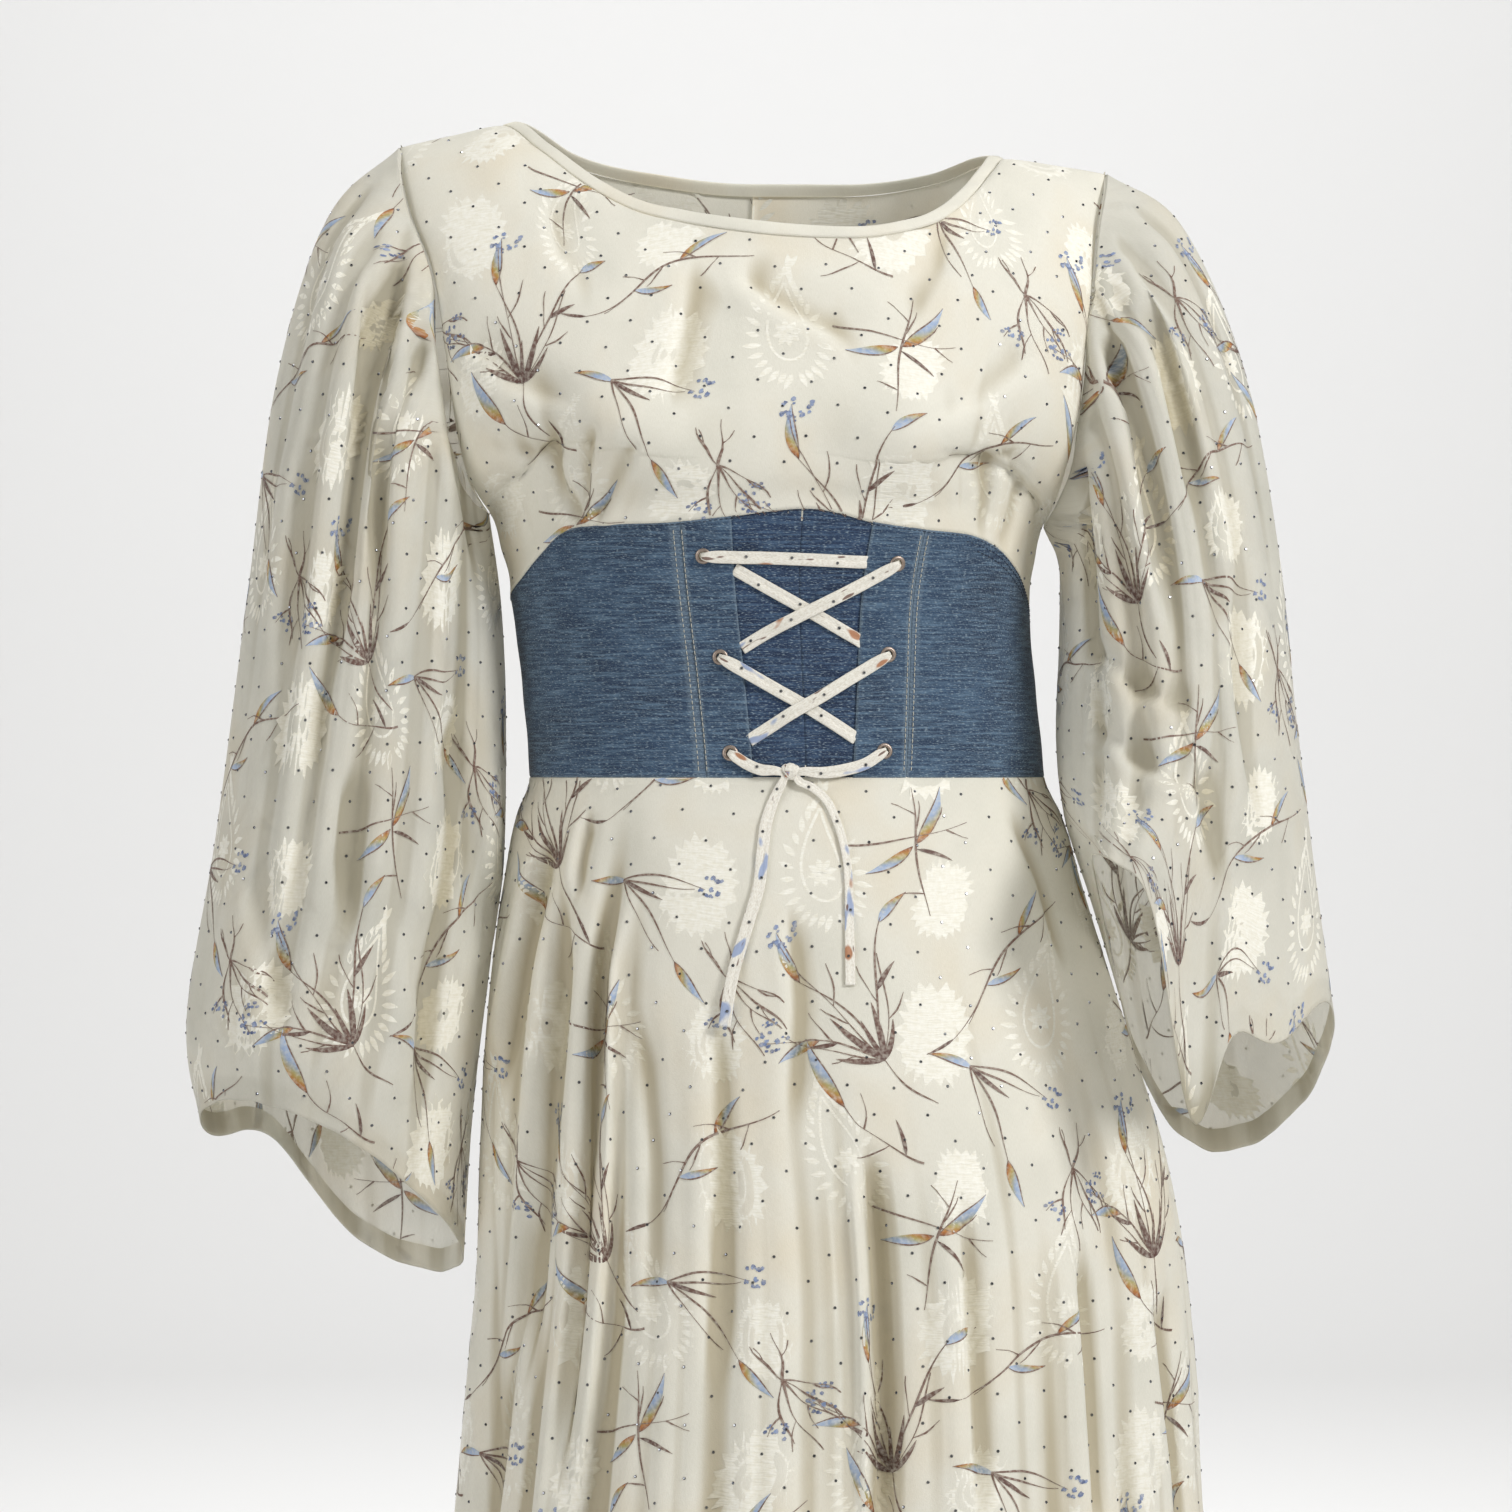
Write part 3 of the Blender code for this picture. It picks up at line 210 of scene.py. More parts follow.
class Nodes:
    """A material being wired up round its Principled shader."""

    def __init__(self, name: str, roughness: float, metallic: float = 0.0) -> None:
        """Start a material with the two values that are the same all over it."""
        self.material = bpy.data.materials.new(name)
        self.material.use_nodes = True
        self.tree = self.material.node_tree
        self.shader = self.tree.nodes["Principled BSDF"]
        self.shader.inputs["Roughness"].default_value = roughness
        self.shader.inputs["Metallic"].default_value = metallic

    def add(self, kind: str, **values: object) -> bpy.types.Node:
        """Add a node and set or link its inputs, whose names have _ for a space.

        Args:
            kind: Type of the node.
            **values: Sockets to link from, or plain values.

        Returns:
            The node.
        """
        node = self.tree.nodes.new(kind)
        for name, value in values.items():
            self.feed(node.inputs[name.replace("_", " ")], value)
        return node

    def feed(self, socket: bpy.types.NodeSocket, value: object) -> None:
        """Link a socket to an input, or set its value."""
        if isinstance(value, bpy.types.NodeSocket):
            self.tree.links.new(value, socket)
        else:
            socket.default_value = value

    def flat_place(self, across: float, along: float) -> bpy.types.NodeSocket:
        """Place on the flat cloth, stretched by a scale each way."""
        place = self.add("ShaderNodeUVMap")
        place.uv_map = "UVMap"
        mapping = self.add("ShaderNodeMapping", Vector=place.outputs["UV"], Scale=(across, along, 1.0))
        return mapping.outputs["Vector"]

    def noise(self, place: bpy.types.NodeSocket, detail: float = 2.0) -> bpy.types.NodeSocket:
        """Soft noise at a place that is already scaled."""
        node = self.add("ShaderNodeTexNoise", Vector=place, Scale=1.0, Detail=detail)
        return node.outputs["Fac"]

    def ramp(self, fac: bpy.types.NodeSocket, stops: tuple) -> bpy.types.NodeSocket:
        """A colour ramp through (place, colour) stops."""
        node = self.add("ShaderNodeValToRGB", Fac=fac)
        marks = node.color_ramp.elements
        while len(marks) < len(stops):
            marks.new(0.5)
        for mark, (place, colour) in zip(marks, stops):
            mark.position = place
            mark.color = (*colour, 1)
        return node.outputs["Color"]

    def mix(self, fac: object, first: object, second: object, blend: str = "MIX") -> bpy.types.NodeSocket:
        """Two colours mixed."""
        node = self.add("ShaderNodeMix")
        node.data_type = "RGBA"
        node.blend_type = blend
        for socket, value in zip((node.inputs[0], node.inputs[6], node.inputs[7]), (fac, first, second)):
            if isinstance(value, tuple):
                value = (*value, 1)
            self.feed(socket, value)
        return node.outputs[2]

    def bump(self, height: bpy.types.NodeSocket, distance: float, strength: float,
             under: bpy.types.NodeSocket | None = None) -> bpy.types.NodeSocket:
        """A bump of this height in metres, over another."""
        node = self.add("ShaderNodeBump", Height=height, Distance=distance, Strength=strength)
        if under is not None:
            self.feed(node.inputs["Normal"], under)
        return node.outputs["Normal"]

    def sheen(self, weight: float, roughness: float) -> None:
        """Give the cloth a soft nap of light at its edges."""
        self.shader.inputs["Sheen Weight"].default_value = weight
        self.shader.inputs["Sheen Roughness"].default_value = roughness

    def let_light_through(self, colour: object, share: float) -> None:
        """Let part of the light behind thin cloth through it."""
        through = self.add("ShaderNodeBsdfTranslucent", Color=(*colour, 1) if isinstance(colour, tuple) else colour)
        both = self.add("ShaderNodeMixShader")
        self.feed(both.inputs[0], share)
        self.feed(both.inputs[1], self.shader.outputs["BSDF"])
        self.feed(both.inputs[2], through.outputs["BSDF"])
        output = next(n for n in self.tree.nodes if n.type == "OUTPUT_MATERIAL")
        self.feed(output.inputs["Surface"], both.outputs["Shader"])


@dataclass(frozen=True)
class CreamCloth:
    """The light, slightly sheer cream cloth with its crinkled crepe weave, darkened by painted shade in its folds."""

    name: str = "cream_jacquard"
    light: tuple[float, float, float] = srgb(246, 243, 230)
    warm: tuple[float, float, float] = srgb(243, 234, 213)
    cool: tuple[float, float, float] = srgb(236, 234, 221)
    # painted shade: the colour that the cloth takes deep in its folds
    painted_shade: tuple[float, float, float] = srgb(186, 174, 144)
    roughness: float = 0.74
    see_through: float = 0.14
    cover: float = 1.0

    def material(self) -> bpy.types.Material:
        """Wire the material."""
        n = Nodes(self.name, self.roughness)
        n.shader.inputs["Alpha"].default_value = self.cover
        cloud = n.noise(n.flat_place(14, 11), 3.0)
        tint = n.ramp(cloud, ((0.30, self.cool), (0.50, self.light), (0.74, self.warm)))
        threads = n.noise(n.flat_place(2600, 420), 1.0)
        colour = n.mix(0.10, tint, n.ramp(threads, ((0.35, srgb(205, 200, 184)), (0.65, srgb(250, 249, 242)))))
        # painted shade: the colour darkens towards the shade colour as deep as each point lies in the folds
        fold = n.add("ShaderNodeAttribute")
        fold.attribute_name = "fold"
        depth = n.ramp(fold.outputs["Fac"], ((0.05, (0, 0, 0)), (0.9, (0.8, 0.8, 0.8))))
        colour = n.mix(depth, colour, self.painted_shade)
        n.feed(n.shader.inputs["Base Color"], colour)
        n.shader.inputs["Specular IOR Level"].default_value = 0.25
        crumple = n.bump(n.noise(n.flat_place(70, 38), 4.0), 0.0016, 0.35)
        crepe = n.bump(n.noise(n.flat_place(1500, 1100), 2.0), 0.0002, 0.5, crumple)
        n.feed(n.shader.inputs["Normal"], crepe)
        n.sheen(0.12, 0.4)
        n.let_light_through(colour, self.see_through)
        return n.material


@dataclass(frozen=True)
class SatinFigure:
    """The raised satin of the jacquard's paisleys and patches."""

    name: str = "satin_figure"
    light: tuple[float, float, float] = srgb(253, 251, 241)
    shade: tuple[float, float, float] = srgb(240, 236, 220)
    roughness: float = 0.55

    def material(self) -> bpy.types.Material:
        """Wire the material."""
        n = Nodes(self.name, self.roughness)
        floats = n.noise(n.flat_place(130, 900), 3.0)
        flecks = n.noise(n.flat_place(420, 300), 2.0)
        satin = n.ramp(floats, ((0.34, self.shade), (0.62, self.light)))
        satin = n.mix(0.4, satin, n.ramp(flecks, ((0.4, self.shade), (0.6, self.light))))
        # the attribute "ink" holds white darkened by painted shade in the folds, multiplied over the satin
        ink = n.add("ShaderNodeAttribute")
        ink.attribute_name = "ink"
        n.feed(n.shader.inputs["Base Color"], n.mix(1.0, satin, ink.outputs["Color"], "MULTIPLY"))
        n.shader.inputs["Specular IOR Level"].default_value = 0.35
        n.feed(n.shader.inputs["Normal"], n.bump(floats, 0.0005, 0.7))
        n.sheen(0.15, 0.3)
        return n.material


@dataclass(frozen=True)
class PrintInk:
    """Printed colour that soaks unevenly into the cloth."""

    name: str = "print_ink"
    roughness: float = 0.62
    faded: tuple[float, float, float] = srgb(234, 229, 214)

    def material(self) -> bpy.types.Material:
        """Wire the material, whose colours, print darkened by painted shade in the folds, are in the attribute "ink".
        """
        n = Nodes(self.name, self.roughness)
        ink = n.add("ShaderNodeAttribute")
        ink.attribute_name = "ink"
        blot = n.ramp(n.noise(n.flat_place(420, 420), 3.0), ((0.42, (0.0, 0.0, 0.0)), (0.80, (0.55, 0.55, 0.55))))
        n.feed(n.shader.inputs["Base Color"], n.mix(blot, ink.outputs["Color"], self.faded))
        n.feed(n.shader.inputs["Normal"], n.bump(n.noise(n.flat_place(1500, 1100), 2.0), 0.0002, 0.4))
        return n.material


@dataclass(frozen=True)
class StrapCloth:
    """The cream cloth cut on the bias into straps, with the scraps of print that fall on them."""

    name: str = "strap_cloth"
    light: tuple[float, float, float] = srgb(245, 242, 232)
    shade: tuple[float, float, float] = srgb(228, 222, 208)
    stem: tuple[float, float, float] = srgb(112, 80, 68)
    blue: tuple[float, float, float] = srgb(150, 168, 204)
    rust: tuple[float, float, float] = srgb(176, 112, 66)

    def material(self) -> bpy.types.Material:
        """Wire the material."""
        n = Nodes(self.name, 0.6)
        weave = n.noise(n.flat_place(620, 1500), 2.0)
        colour = n.ramp(weave, ((0.35, self.shade), (0.6, self.light)))
        for tint, along, across, start in ((self.blue, 38, 90, 0.66), (self.rust, 44, 110, 0.68), (self.stem, 70, 260, 0.67)):
            mark = n.noise(n.flat_place(along, across), 1.0)
            colour = n.mix(n.ramp(mark, ((start, (0, 0, 0)), (start + 0.03, (0.9, 0.9, 0.9)))), colour, tint)
        n.feed(n.shader.inputs["Base Color"], colour)
        wrinkles = n.bump(n.noise(n.flat_place(260, 520), 3.0), 0.0007, 0.6)
        n.feed(n.shader.inputs["Normal"], n.bump(weave, 0.0002, 0.6, wrinkles))
        n.sheen(0.1, 0.4)
        return n.material


@dataclass(frozen=True)
class SlubDenim:
    """Washed blue denim with slubs across it, paler where its edges wear."""

    deep: tuple[float, float, float] = srgb(27, 43, 68)
    blue: tuple[float, float, float] = srgb(45, 70, 100)
    pale: tuple[float, float, float] = srgb(92, 118, 142)
    worn: tuple[float, float, float] = srgb(150, 168, 180)
    name: str = "slub_denim"

    def material(self) -> bpy.types.Material:
        """Wire the material. The attribute "wear" is 1 at the edges of a panel."""
        n = Nodes(self.name, 0.86)
        cloud = n.noise(n.flat_place(22, 34), 3.0)
        ground = n.ramp(cloud, ((0.32, self.deep), (0.66, self.blue)))
        slubs = n.noise(n.flat_place(48, 760), 3.0)
        body = n.mix(n.ramp(slubs, ((0.44, (0, 0, 0)), (0.66, (1, 1, 1)))), ground, self.pale)
        dark = n.noise(n.flat_place(190, 1900), 2.0)
        body = n.mix(n.ramp(dark, ((0.30, (0.8, 0.8, 0.8)), (0.50, (0, 0, 0)))), body, self.deep)
        flecks = n.noise(n.flat_place(430, 1900), 1.0)
        body = n.mix(n.ramp(flecks, ((0.57, (0, 0, 0)), (0.72, (0.85, 0.85, 0.85)))), body, self.worn)
        salt = n.noise(n.flat_place(1500, 1500), 1.0)
        body = n.mix(n.ramp(salt, ((0.45, (0, 0, 0)), (0.75, (0.45, 0.45, 0.45)))), body, self.pale)
        wear = n.add("ShaderNodeAttribute")
        wear.attribute_name = "wear"
        rub = n.add("ShaderNodeMath")
        rub.operation = "MULTIPLY"
        n.feed(rub.inputs[0], wear.outputs["Fac"])
        n.feed(rub.inputs[1], n.noise(n.flat_place(700, 700), 3.0))
        n.feed(n.shader.inputs["Base Color"], n.mix(rub.outputs[0], body, self.worn))
        twill = n.add("ShaderNodeTexWave", Vector=n.flat_place(1000, 620), Scale=0.32, Distortion=0.6)
        twill.bands_direction = "DIAGONAL"
        relief = n.bump(slubs, 0.0005, 0.8)
        n.feed(n.shader.inputs["Normal"], n.bump(twill.outputs["Fac"], 0.00018, 0.6, relief))
        n.sheen(0.1, 0.5)
        return n.material


@dataclass(frozen=True)
class HardFinish:
    """Metal or enamel with fine wear in its polish."""

    name: str
    colour: tuple[float, float, float]
    edge: tuple[float, float, float]
    roughness: float
    metallic: float

    def material(self) -> bpy.types.Material:
        """Wire the material."""
        n = Nodes(self.name, self.roughness, self.metallic)
        place = n.add("ShaderNodeTexCoord").outputs["Object"]
        stain = n.add("ShaderNodeTexNoise", Vector=place, Scale=420.0, Detail=3.0)
        n.feed(n.shader.inputs["Base Color"],
               n.ramp(stain.outputs["Fac"], ((0.38, self.colour), (0.68, self.edge))))
        scratch = n.add("ShaderNodeTexNoise", Vector=place, Scale=2600.0, Detail=2.0)
        n.feed(n.shader.inputs["Normal"], n.bump(scratch.outputs["Fac"], 0.00004, 0.4))
        return n.material


@dataclass(frozen=True)
class Thread:
    """Twisted sewing thread."""

    name: str
    colour: tuple[float, float, float]

    def material(self) -> bpy.types.Material:
        """Wire the material."""
        n = Nodes(self.name, 0.7)
        twist = n.noise(n.flat_place(2200, 2200), 2.0)
        dark = tuple(c * 0.72 for c in self.colour)
        n.feed(n.shader.inputs["Base Color"], n.ramp(twist, ((0.35, dark), (0.6, self.colour))))
        n.feed(n.shader.inputs["Normal"], n.bump(twist, 0.0001, 0.7))
        return n.material


class Finish(Enum):
    """The finishes of the dress."""

    CLOTH = CreamCloth()
    # the sheer cloth's fourth colour, srgb(182, 174, 150), is the painted shade in its folds
    SHEER = CreamCloth("sheer_jacquard", srgb(240, 238, 227), srgb(238, 230, 210), srgb(226, 225, 214),
                       srgb(182, 174, 150), 0.74, 0.24, 0.86)
    STRAP = StrapCloth()
    SATIN = SatinFigure()
    INK = PrintInk()
    FRAY = Thread("frayed_thread", srgb(172, 184, 194))
    DENIM = SlubDenim()
    # a darker copy of the denim: painted shade for the centre panels that lie under the flaps and lacing
    DENIM_UNDER = SlubDenim(deep=srgb(20, 34, 60), blue=srgb(34, 56, 90), pale=srgb(72, 98, 128), name="denim_under")
    EYELET = HardFinish("eyelet_metal", srgb(238, 234, 228), srgb(206, 170, 146), 0.2, 1.0)
    ZIP = HardFinish("zip_enamel", srgb(232, 228, 214), srgb(208, 200, 182), 0.35, 0.0)
    STONE = HardFinish("dark_stone", srgb(150, 152, 156), srgb(84, 86, 94), 0.12, 1.0)
    CREAM_THREAD = Thread("cream_thread", srgb(206, 204, 192))
    BLUE_THREAD = Thread("blue_thread", srgb(30, 40, 62))

    def material(self) -> bpy.types.Material:
        """The material of this finish, made once."""
        return bpy.data.materials.get(self.value.name) or self.value.material()


@dataclass(frozen=True)
class Crease:
    """A trough in the cloth along a line of the photograph, with a soft roll beside it."""

    line: tuple[tuple[float, float], ...]
    depth: float
    width: float
    roll: float = 0.35
    side: float = 1.0

    def sink(self, x: np.ndarray, z: np.ndarray) -> np.ndarray:
        """How far the cloth sinks at these places, in millimetres."""
        points = np.array([photo_point(*p) for p in self.line])
        lengths = np.linalg.norm(np.diff(points, axis=0), axis=1)
        total = lengths.sum()
        best = np.full(x.shape, 1e9)
        signed = np.zeros(x.shape)
        along = np.zeros(x.shape)
        done = 0.0
        for a, b, length in zip(points[:-1], points[1:], lengths):
            way = (b - a) / length
            dx, dz = x - a[0], z - a[1]
            t = np.clip(dx * way[0] + dz * way[1], 0, length)
            off = np.hypot(dx - way[0] * t, dz - way[1] * t)
            across = dx * way[1] - dz * way[0]
            nearer = off < best
            best = np.where(nearer, off, best)
            signed = np.where(nearer, np.sign(across) * off, signed)
            along = np.where(nearer, (done + t) / total, along)
            done += length
        fade = ease(along, 0.0, 0.22) * (1 - ease(along, 0.72, 1.0))
        steep = np.where(signed * self.side > 0, 0.55, 1.5) * self.width
        trough = np.exp(-((best / steep) ** 2))
        ridge = np.exp(-(((signed * self.side - 1.3 * self.width) / (0.8 * self.width)) ** 2))
        return self.depth * fade * (trough - self.roll * ridge)


def pressed(grid: np.ndarray, creases: tuple[Crease, ...], closed: bool, strength: float,
            front: bool = True) -> np.ndarray:
    """Press creases, this many times their depth, into the side of a grid that faces the camera or away."""
    normals = grid_normals(grid, closed)
    facing = ease(-normals[..., 1] if front else normals[..., 1], 0.0, 0.35)
    sunk = sum(crease.sink(grid[..., 0], grid[..., 2]) for crease in creases)
    return grid - normals * (strength * sunk * facing)[..., None]


class ClothPanel:
    """A panel of the thin cloth: its points, its flat shape, and what is printed and set on it."""

    def __init__(self, name: str, grid: np.ndarray, closed: bool = False, seams: tuple[str, ...] = (),
                 hem: bool = False, finish: "Finish | None" = None) -> None:
        """Turn in the sewn edges, turn up the hem and lay the panel flat.

        Args:
            name: Name of the piece and of the node that it stands for.
            grid: Rows of points in millimetres, rising, the same count in each.
            closed: True where the last column is the first.
            seams: Edges that are sewn to another piece: bottom, top, left, right.
            hem: True where the lowest row is a free hem.
            finish: Its cloth, the lined cream cloth if none is given.
        """
        self.name = name
        self.closed = closed
        self.finish = finish or Finish.CLOTH
        for side in seams:
            grid = self._row_beside(grid, side)
        normals = grid_normals(grid, closed)
        for side in seams:
            rows, turn = self._side(grid, side), self._side(normals, side)
            rows[0] -= turn[0] * 1.7
            rows[1] -= turn[1] * 0.15
        flat = self._laid_flat(grid)
        if hem:
            up = unit(grid[3] - grid[0])
            turned = [grid[0] - normals[0] * 1.0 + up * 13, grid[0] - normals[0] * 1.1 + up * 1.0,
                      grid[0] - normals[0] * 0.5 - up * 0.5]
            grid = np.concatenate([turned, grid])
            under = np.array([(0, -14.0), (0, -1.6), (0, -0.6)])
            flat = np.concatenate([flat[:1] + under[:, None], flat])
            normals = np.concatenate([-normals[:1], -normals[:1], normals[:1], normals])
        self.grid = grid
        self.normals = normals
        self.flat = flat
        self.finished_rows = 3 if hem else 0
        # painted shade: how deep in the folds each point lies, by which the cloth and its print are darkened
        self.fold = self.shade_in_folds()
        self.shade = np.zeros(0)
        self.tree: BVHTree | None = None
        self.piece: bpy.types.Object | None = None

    @staticmethod
    def _side(grid: np.ndarray, side: str) -> np.ndarray:
        """The grid seen from one of its edges, edge row first."""
        rows = np.moveaxis(grid, 1, 0) if side in ("left", "right") else grid
        return rows[::-1] if side in ("right", "top") else rows

    def _row_beside(self, grid: np.ndarray, side: str) -> np.ndarray:
        """Add a row of points 1.3 mm from an edge."""
        rows = self._side(grid, side)
        beside = rows[0] + unit(rows[1] - rows[0]) * 1.3
        axis = 1 if side in ("left", "right") else 0
        at = 1 if side in ("left", "bottom") else grid.shape[axis] - 1
        return np.insert(grid, at, beside, axis=axis)

    def _laid_flat(self, grid: np.ndarray) -> np.ndarray:
        """Places on the flat cloth: across from the middle column, and up from the lowest row."""
        steps = softened(np.linalg.norm(np.diff(grid, axis=1), axis=-1), min(40, len(grid) // 3))
        across = np.concatenate([np.zeros((len(grid), 1)), np.cumsum(steps, axis=1)], axis=1)
        across -= across[:, -1:] / 2
        rise = np.linalg.norm(np.diff(grid, axis=0), axis=-1)
        rise = softened(rise.T, 12).T
        up = np.concatenate([np.zeros((1, grid.shape[1])), np.cumsum(rise, axis=0)])
        return np.stack([across, up + softened(grid[0, :, 2:], 12)[:, 0]], axis=-1)

    def build(self, node: str) -> bpy.types.Object:
        """Make the cloth and let it stand for its solid."""
        rows, columns = self.grid.shape[:2]
        index = np.arange(rows * columns).reshape(rows, columns)
        faces = quads(index[:-1, :-1], index[:-1, 1:], index[1:, 1:], index[1:, :-1])
        self.piece = make_piece(self.name, self.grid.reshape(-1, 3), faces, self.finish.material(),
                                self.flat.reshape(-1, 2))
        # painted shade in the folds, read by the cloth's material
        fold = self.piece.data.attributes.new("fold", "FLOAT", "POINT")
        fold.data.foreach_set("value", self.fold.astype(np.float32).ravel())
        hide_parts(node)
        return self.piece

    def shade_in_folds(self) -> np.ndarray:
        """How deep in the folds each point lies, from 0 to 1, which sets the painted shade there."""
        total = np.zeros(self.grid.shape[:2])
        for reach, depth, weight in ((3, 0.8, 0.45), (8, 4.0, 0.65)):
            if self.closed:
                ring = self.grid[:, :-1]
                left, right = np.roll(ring, reach, axis=1), np.roll(ring, -reach, axis=1)
                left, right = (np.concatenate([g, g[:, :1]], axis=1) for g in (left, right))
            else:
                padded = np.pad(self.grid, ((0, 0), (reach, reach), (0, 0)), mode="reflect", reflect_type="odd")
                left, right = padded[:, :-2 * reach], padded[:, 2 * reach:]
            hollow = (((left + right) / 2 - self.grid) * self.normals).sum(axis=-1)
            total += weight * np.clip(hollow / depth, 0, 1)
        return softened(total, 3)

    def place(self, spots: np.ndarray, lift: np.ndarray | float) -> tuple[np.ndarray, np.ndarray, np.ndarray]:
        """Carry places on the flat cloth to the worn one.

        Args:
            spots: Places on the flat cloth in millimetres.
            lift: How far above the cloth each one lies.

        Returns:
            Points in millimetres, outward directions, and whether each place is on the panel.
        """
        rows, columns = self.grid.shape[:2]
        first = self.finished_rows
        index = np.arange(rows * columns).reshape(rows, columns)[first:]
        a, b, c, d = (q.ravel() for q in (index[:-1, :-1], index[:-1, 1:], index[1:, 1:], index[1:, :-1]))
        faces = np.concatenate([np.stack([a, b, c], axis=-1), np.stack([a, c, d], axis=-1)])
        flat = self.flat.reshape(-1, 2)
        if self.tree is None:
            level = np.concatenate([flat, np.zeros((len(flat), 1))], axis=1)
            self.tree = BVHTree.FromPolygons(level.tolist(), faces.tolist())
        down = Vector((0, 0, -1))
        cast = self.tree.ray_cast
        found = np.array([-1 if (hit := cast((u, v, 5.0), down, 10.0)[2]) is None else hit
                          for u, v in spots.tolist()], int)
        ok = found >= 0
        corners = faces[found]
        p, q, r = (flat[corners[:, n]] for n in range(3))
        area = (q[:, 0] - p[:, 0]) * (r[:, 1] - p[:, 1]) - (r[:, 0] - p[:, 0]) * (q[:, 1] - p[:, 1])
        area = np.where(np.abs(area) < 1e-9, 1e-9, area)
        share_q = ((spots[:, 0] - p[:, 0]) * (r[:, 1] - p[:, 1]) - (r[:, 0] - p[:, 0]) * (spots[:, 1] - p[:, 1])) / area
        share_r = ((q[:, 0] - p[:, 0]) * (spots[:, 1] - p[:, 1]) - (spots[:, 0] - p[:, 0]) * (q[:, 1] - p[:, 1])) / area
        shares = np.stack([1 - share_q - share_r, share_q, share_r], axis=-1)
        points = (self.grid.reshape(-1, 3)[corners] * shares[..., None]).sum(axis=1)
        normals = unit((self.normals.reshape(-1, 3)[corners] * shares[..., None]).sum(axis=1))
        # painted shade in the folds at each place, for the print and figures laid there
        self.shade = np.clip((self.fold.ravel()[corners] * shares).sum(axis=1), 0, 1)
        return points + normals * np.reshape(lift, (-1, 1)), normals, ok

    def reach(self) -> tuple[np.ndarray, np.ndarray]:
        """Lowest and highest places on the flat cloth."""
        flat = self.flat[self.finished_rows:].reshape(-1, 2)
        return flat.min(axis=0), flat.max(axis=0)

    def declare(self, pieces: list[bpy.types.Object], held: str) -> None:
        """State the flat size that the panel was cut to."""
        low, high = self.reach()
        size = (high - low) * MM
        rows = self.grid[self.finished_rows:]
        first = np.cross(rows[1:, 1:] - rows[:-1, :-1], rows[1:, :-1] - rows[:-1, 1:])
        area = float(np.linalg.norm(first, axis=-1).sum() / 2 * MM * MM)
        log.info("%s: flat %.3f x %.3f m, area %.3f m2", self.name, size[0], size[1], area)
        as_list(pieces)


@dataclass
class Drawing:
    """A flat drawing of coloured shapes, in millimetres round its middle."""

    points: list = field(default_factory=list)
    faces: list = field(default_factory=list)
    colours: list = field(default_factory=list)
    layers: list = field(default_factory=list)
    count: int = 0

    def add(self, points: np.ndarray, faces: np.ndarray, colours: np.ndarray, layer: float) -> None:
        """Add one shape on a layer of the drawing."""
        self.points.append(points)
        self.faces.append(np.asarray(faces) + self.count)
        self.colours.append(np.broadcast_to(colours, (len(points), 3)))
        self.layers.append(np.full(len(points), layer))
        self.count += len(points)

    def stroke(self, line: np.ndarray, half: np.ndarray, colours: np.ndarray, layer: float, across: int = 1) -> None:
        """A brush stroke along a line, with half widths and colours at each of its points."""
        way = unit(np.gradient(line, axis=0))
        side = np.stack([-way[:, 1], way[:, 0]], axis=-1) * half[:, None]
        rails = np.stack([line + side * s for s in np.linspace(-1, 1, across + 1)], axis=1)
        index = np.arange(rails.shape[0] * rails.shape[1]).reshape(rails.shape[:2])
        faces = quads(index[:-1, :-1], index[:-1, 1:], index[1:, 1:], index[1:, :-1])
        tones = np.asarray(colours)
        if tones.ndim < 3:
            tones = np.broadcast_to(tones, (len(line), 3))[:, None]
        shade = np.broadcast_to(tones, (len(line), across + 1, 3)).reshape(-1, 3)
        triangles = np.concatenate([faces[:, [0, 1, 2]], faces[:, [0, 2, 3]]])
        self.add(rails.reshape(-1, 2), triangles, shade, layer)

    def arrays(self) -> tuple[np.ndarray, np.ndarray, np.ndarray, np.ndarray]:
        """The whole drawing as points, faces, colours and layers."""
        return (np.concatenate(self.points), np.concatenate(self.faces),
                np.concatenate(self.colours), np.concatenate(self.layers))


def bent_line(start: tuple[float, float], heading: float, length: float, bend: float, sway: float = 0.0,
              step: float = 3.2) -> np.ndarray:
    """A line that turns as it goes.

    Args:
        start: Where it begins.
        heading: Its first direction, in degrees from straight up towards the right.
        length: How long it is.
        bend: How far it turns over its length, in degrees.
        sway: How far it swings to and fro on the way, in degrees.
        step: Distance between its points.

    Returns:
        Its points.
    """
    count = max(4, int(length / step))
    share = (np.arange(count) + 0.5) / count
    angle = np.radians(heading + bend * share + sway * np.sin(share * 7.0))
    moves = np.stack([np.sin(angle), np.cos(angle)], axis=-1) * length / count
    return np.concatenate([[start], np.array(start) + np.cumsum(moves, axis=0)])


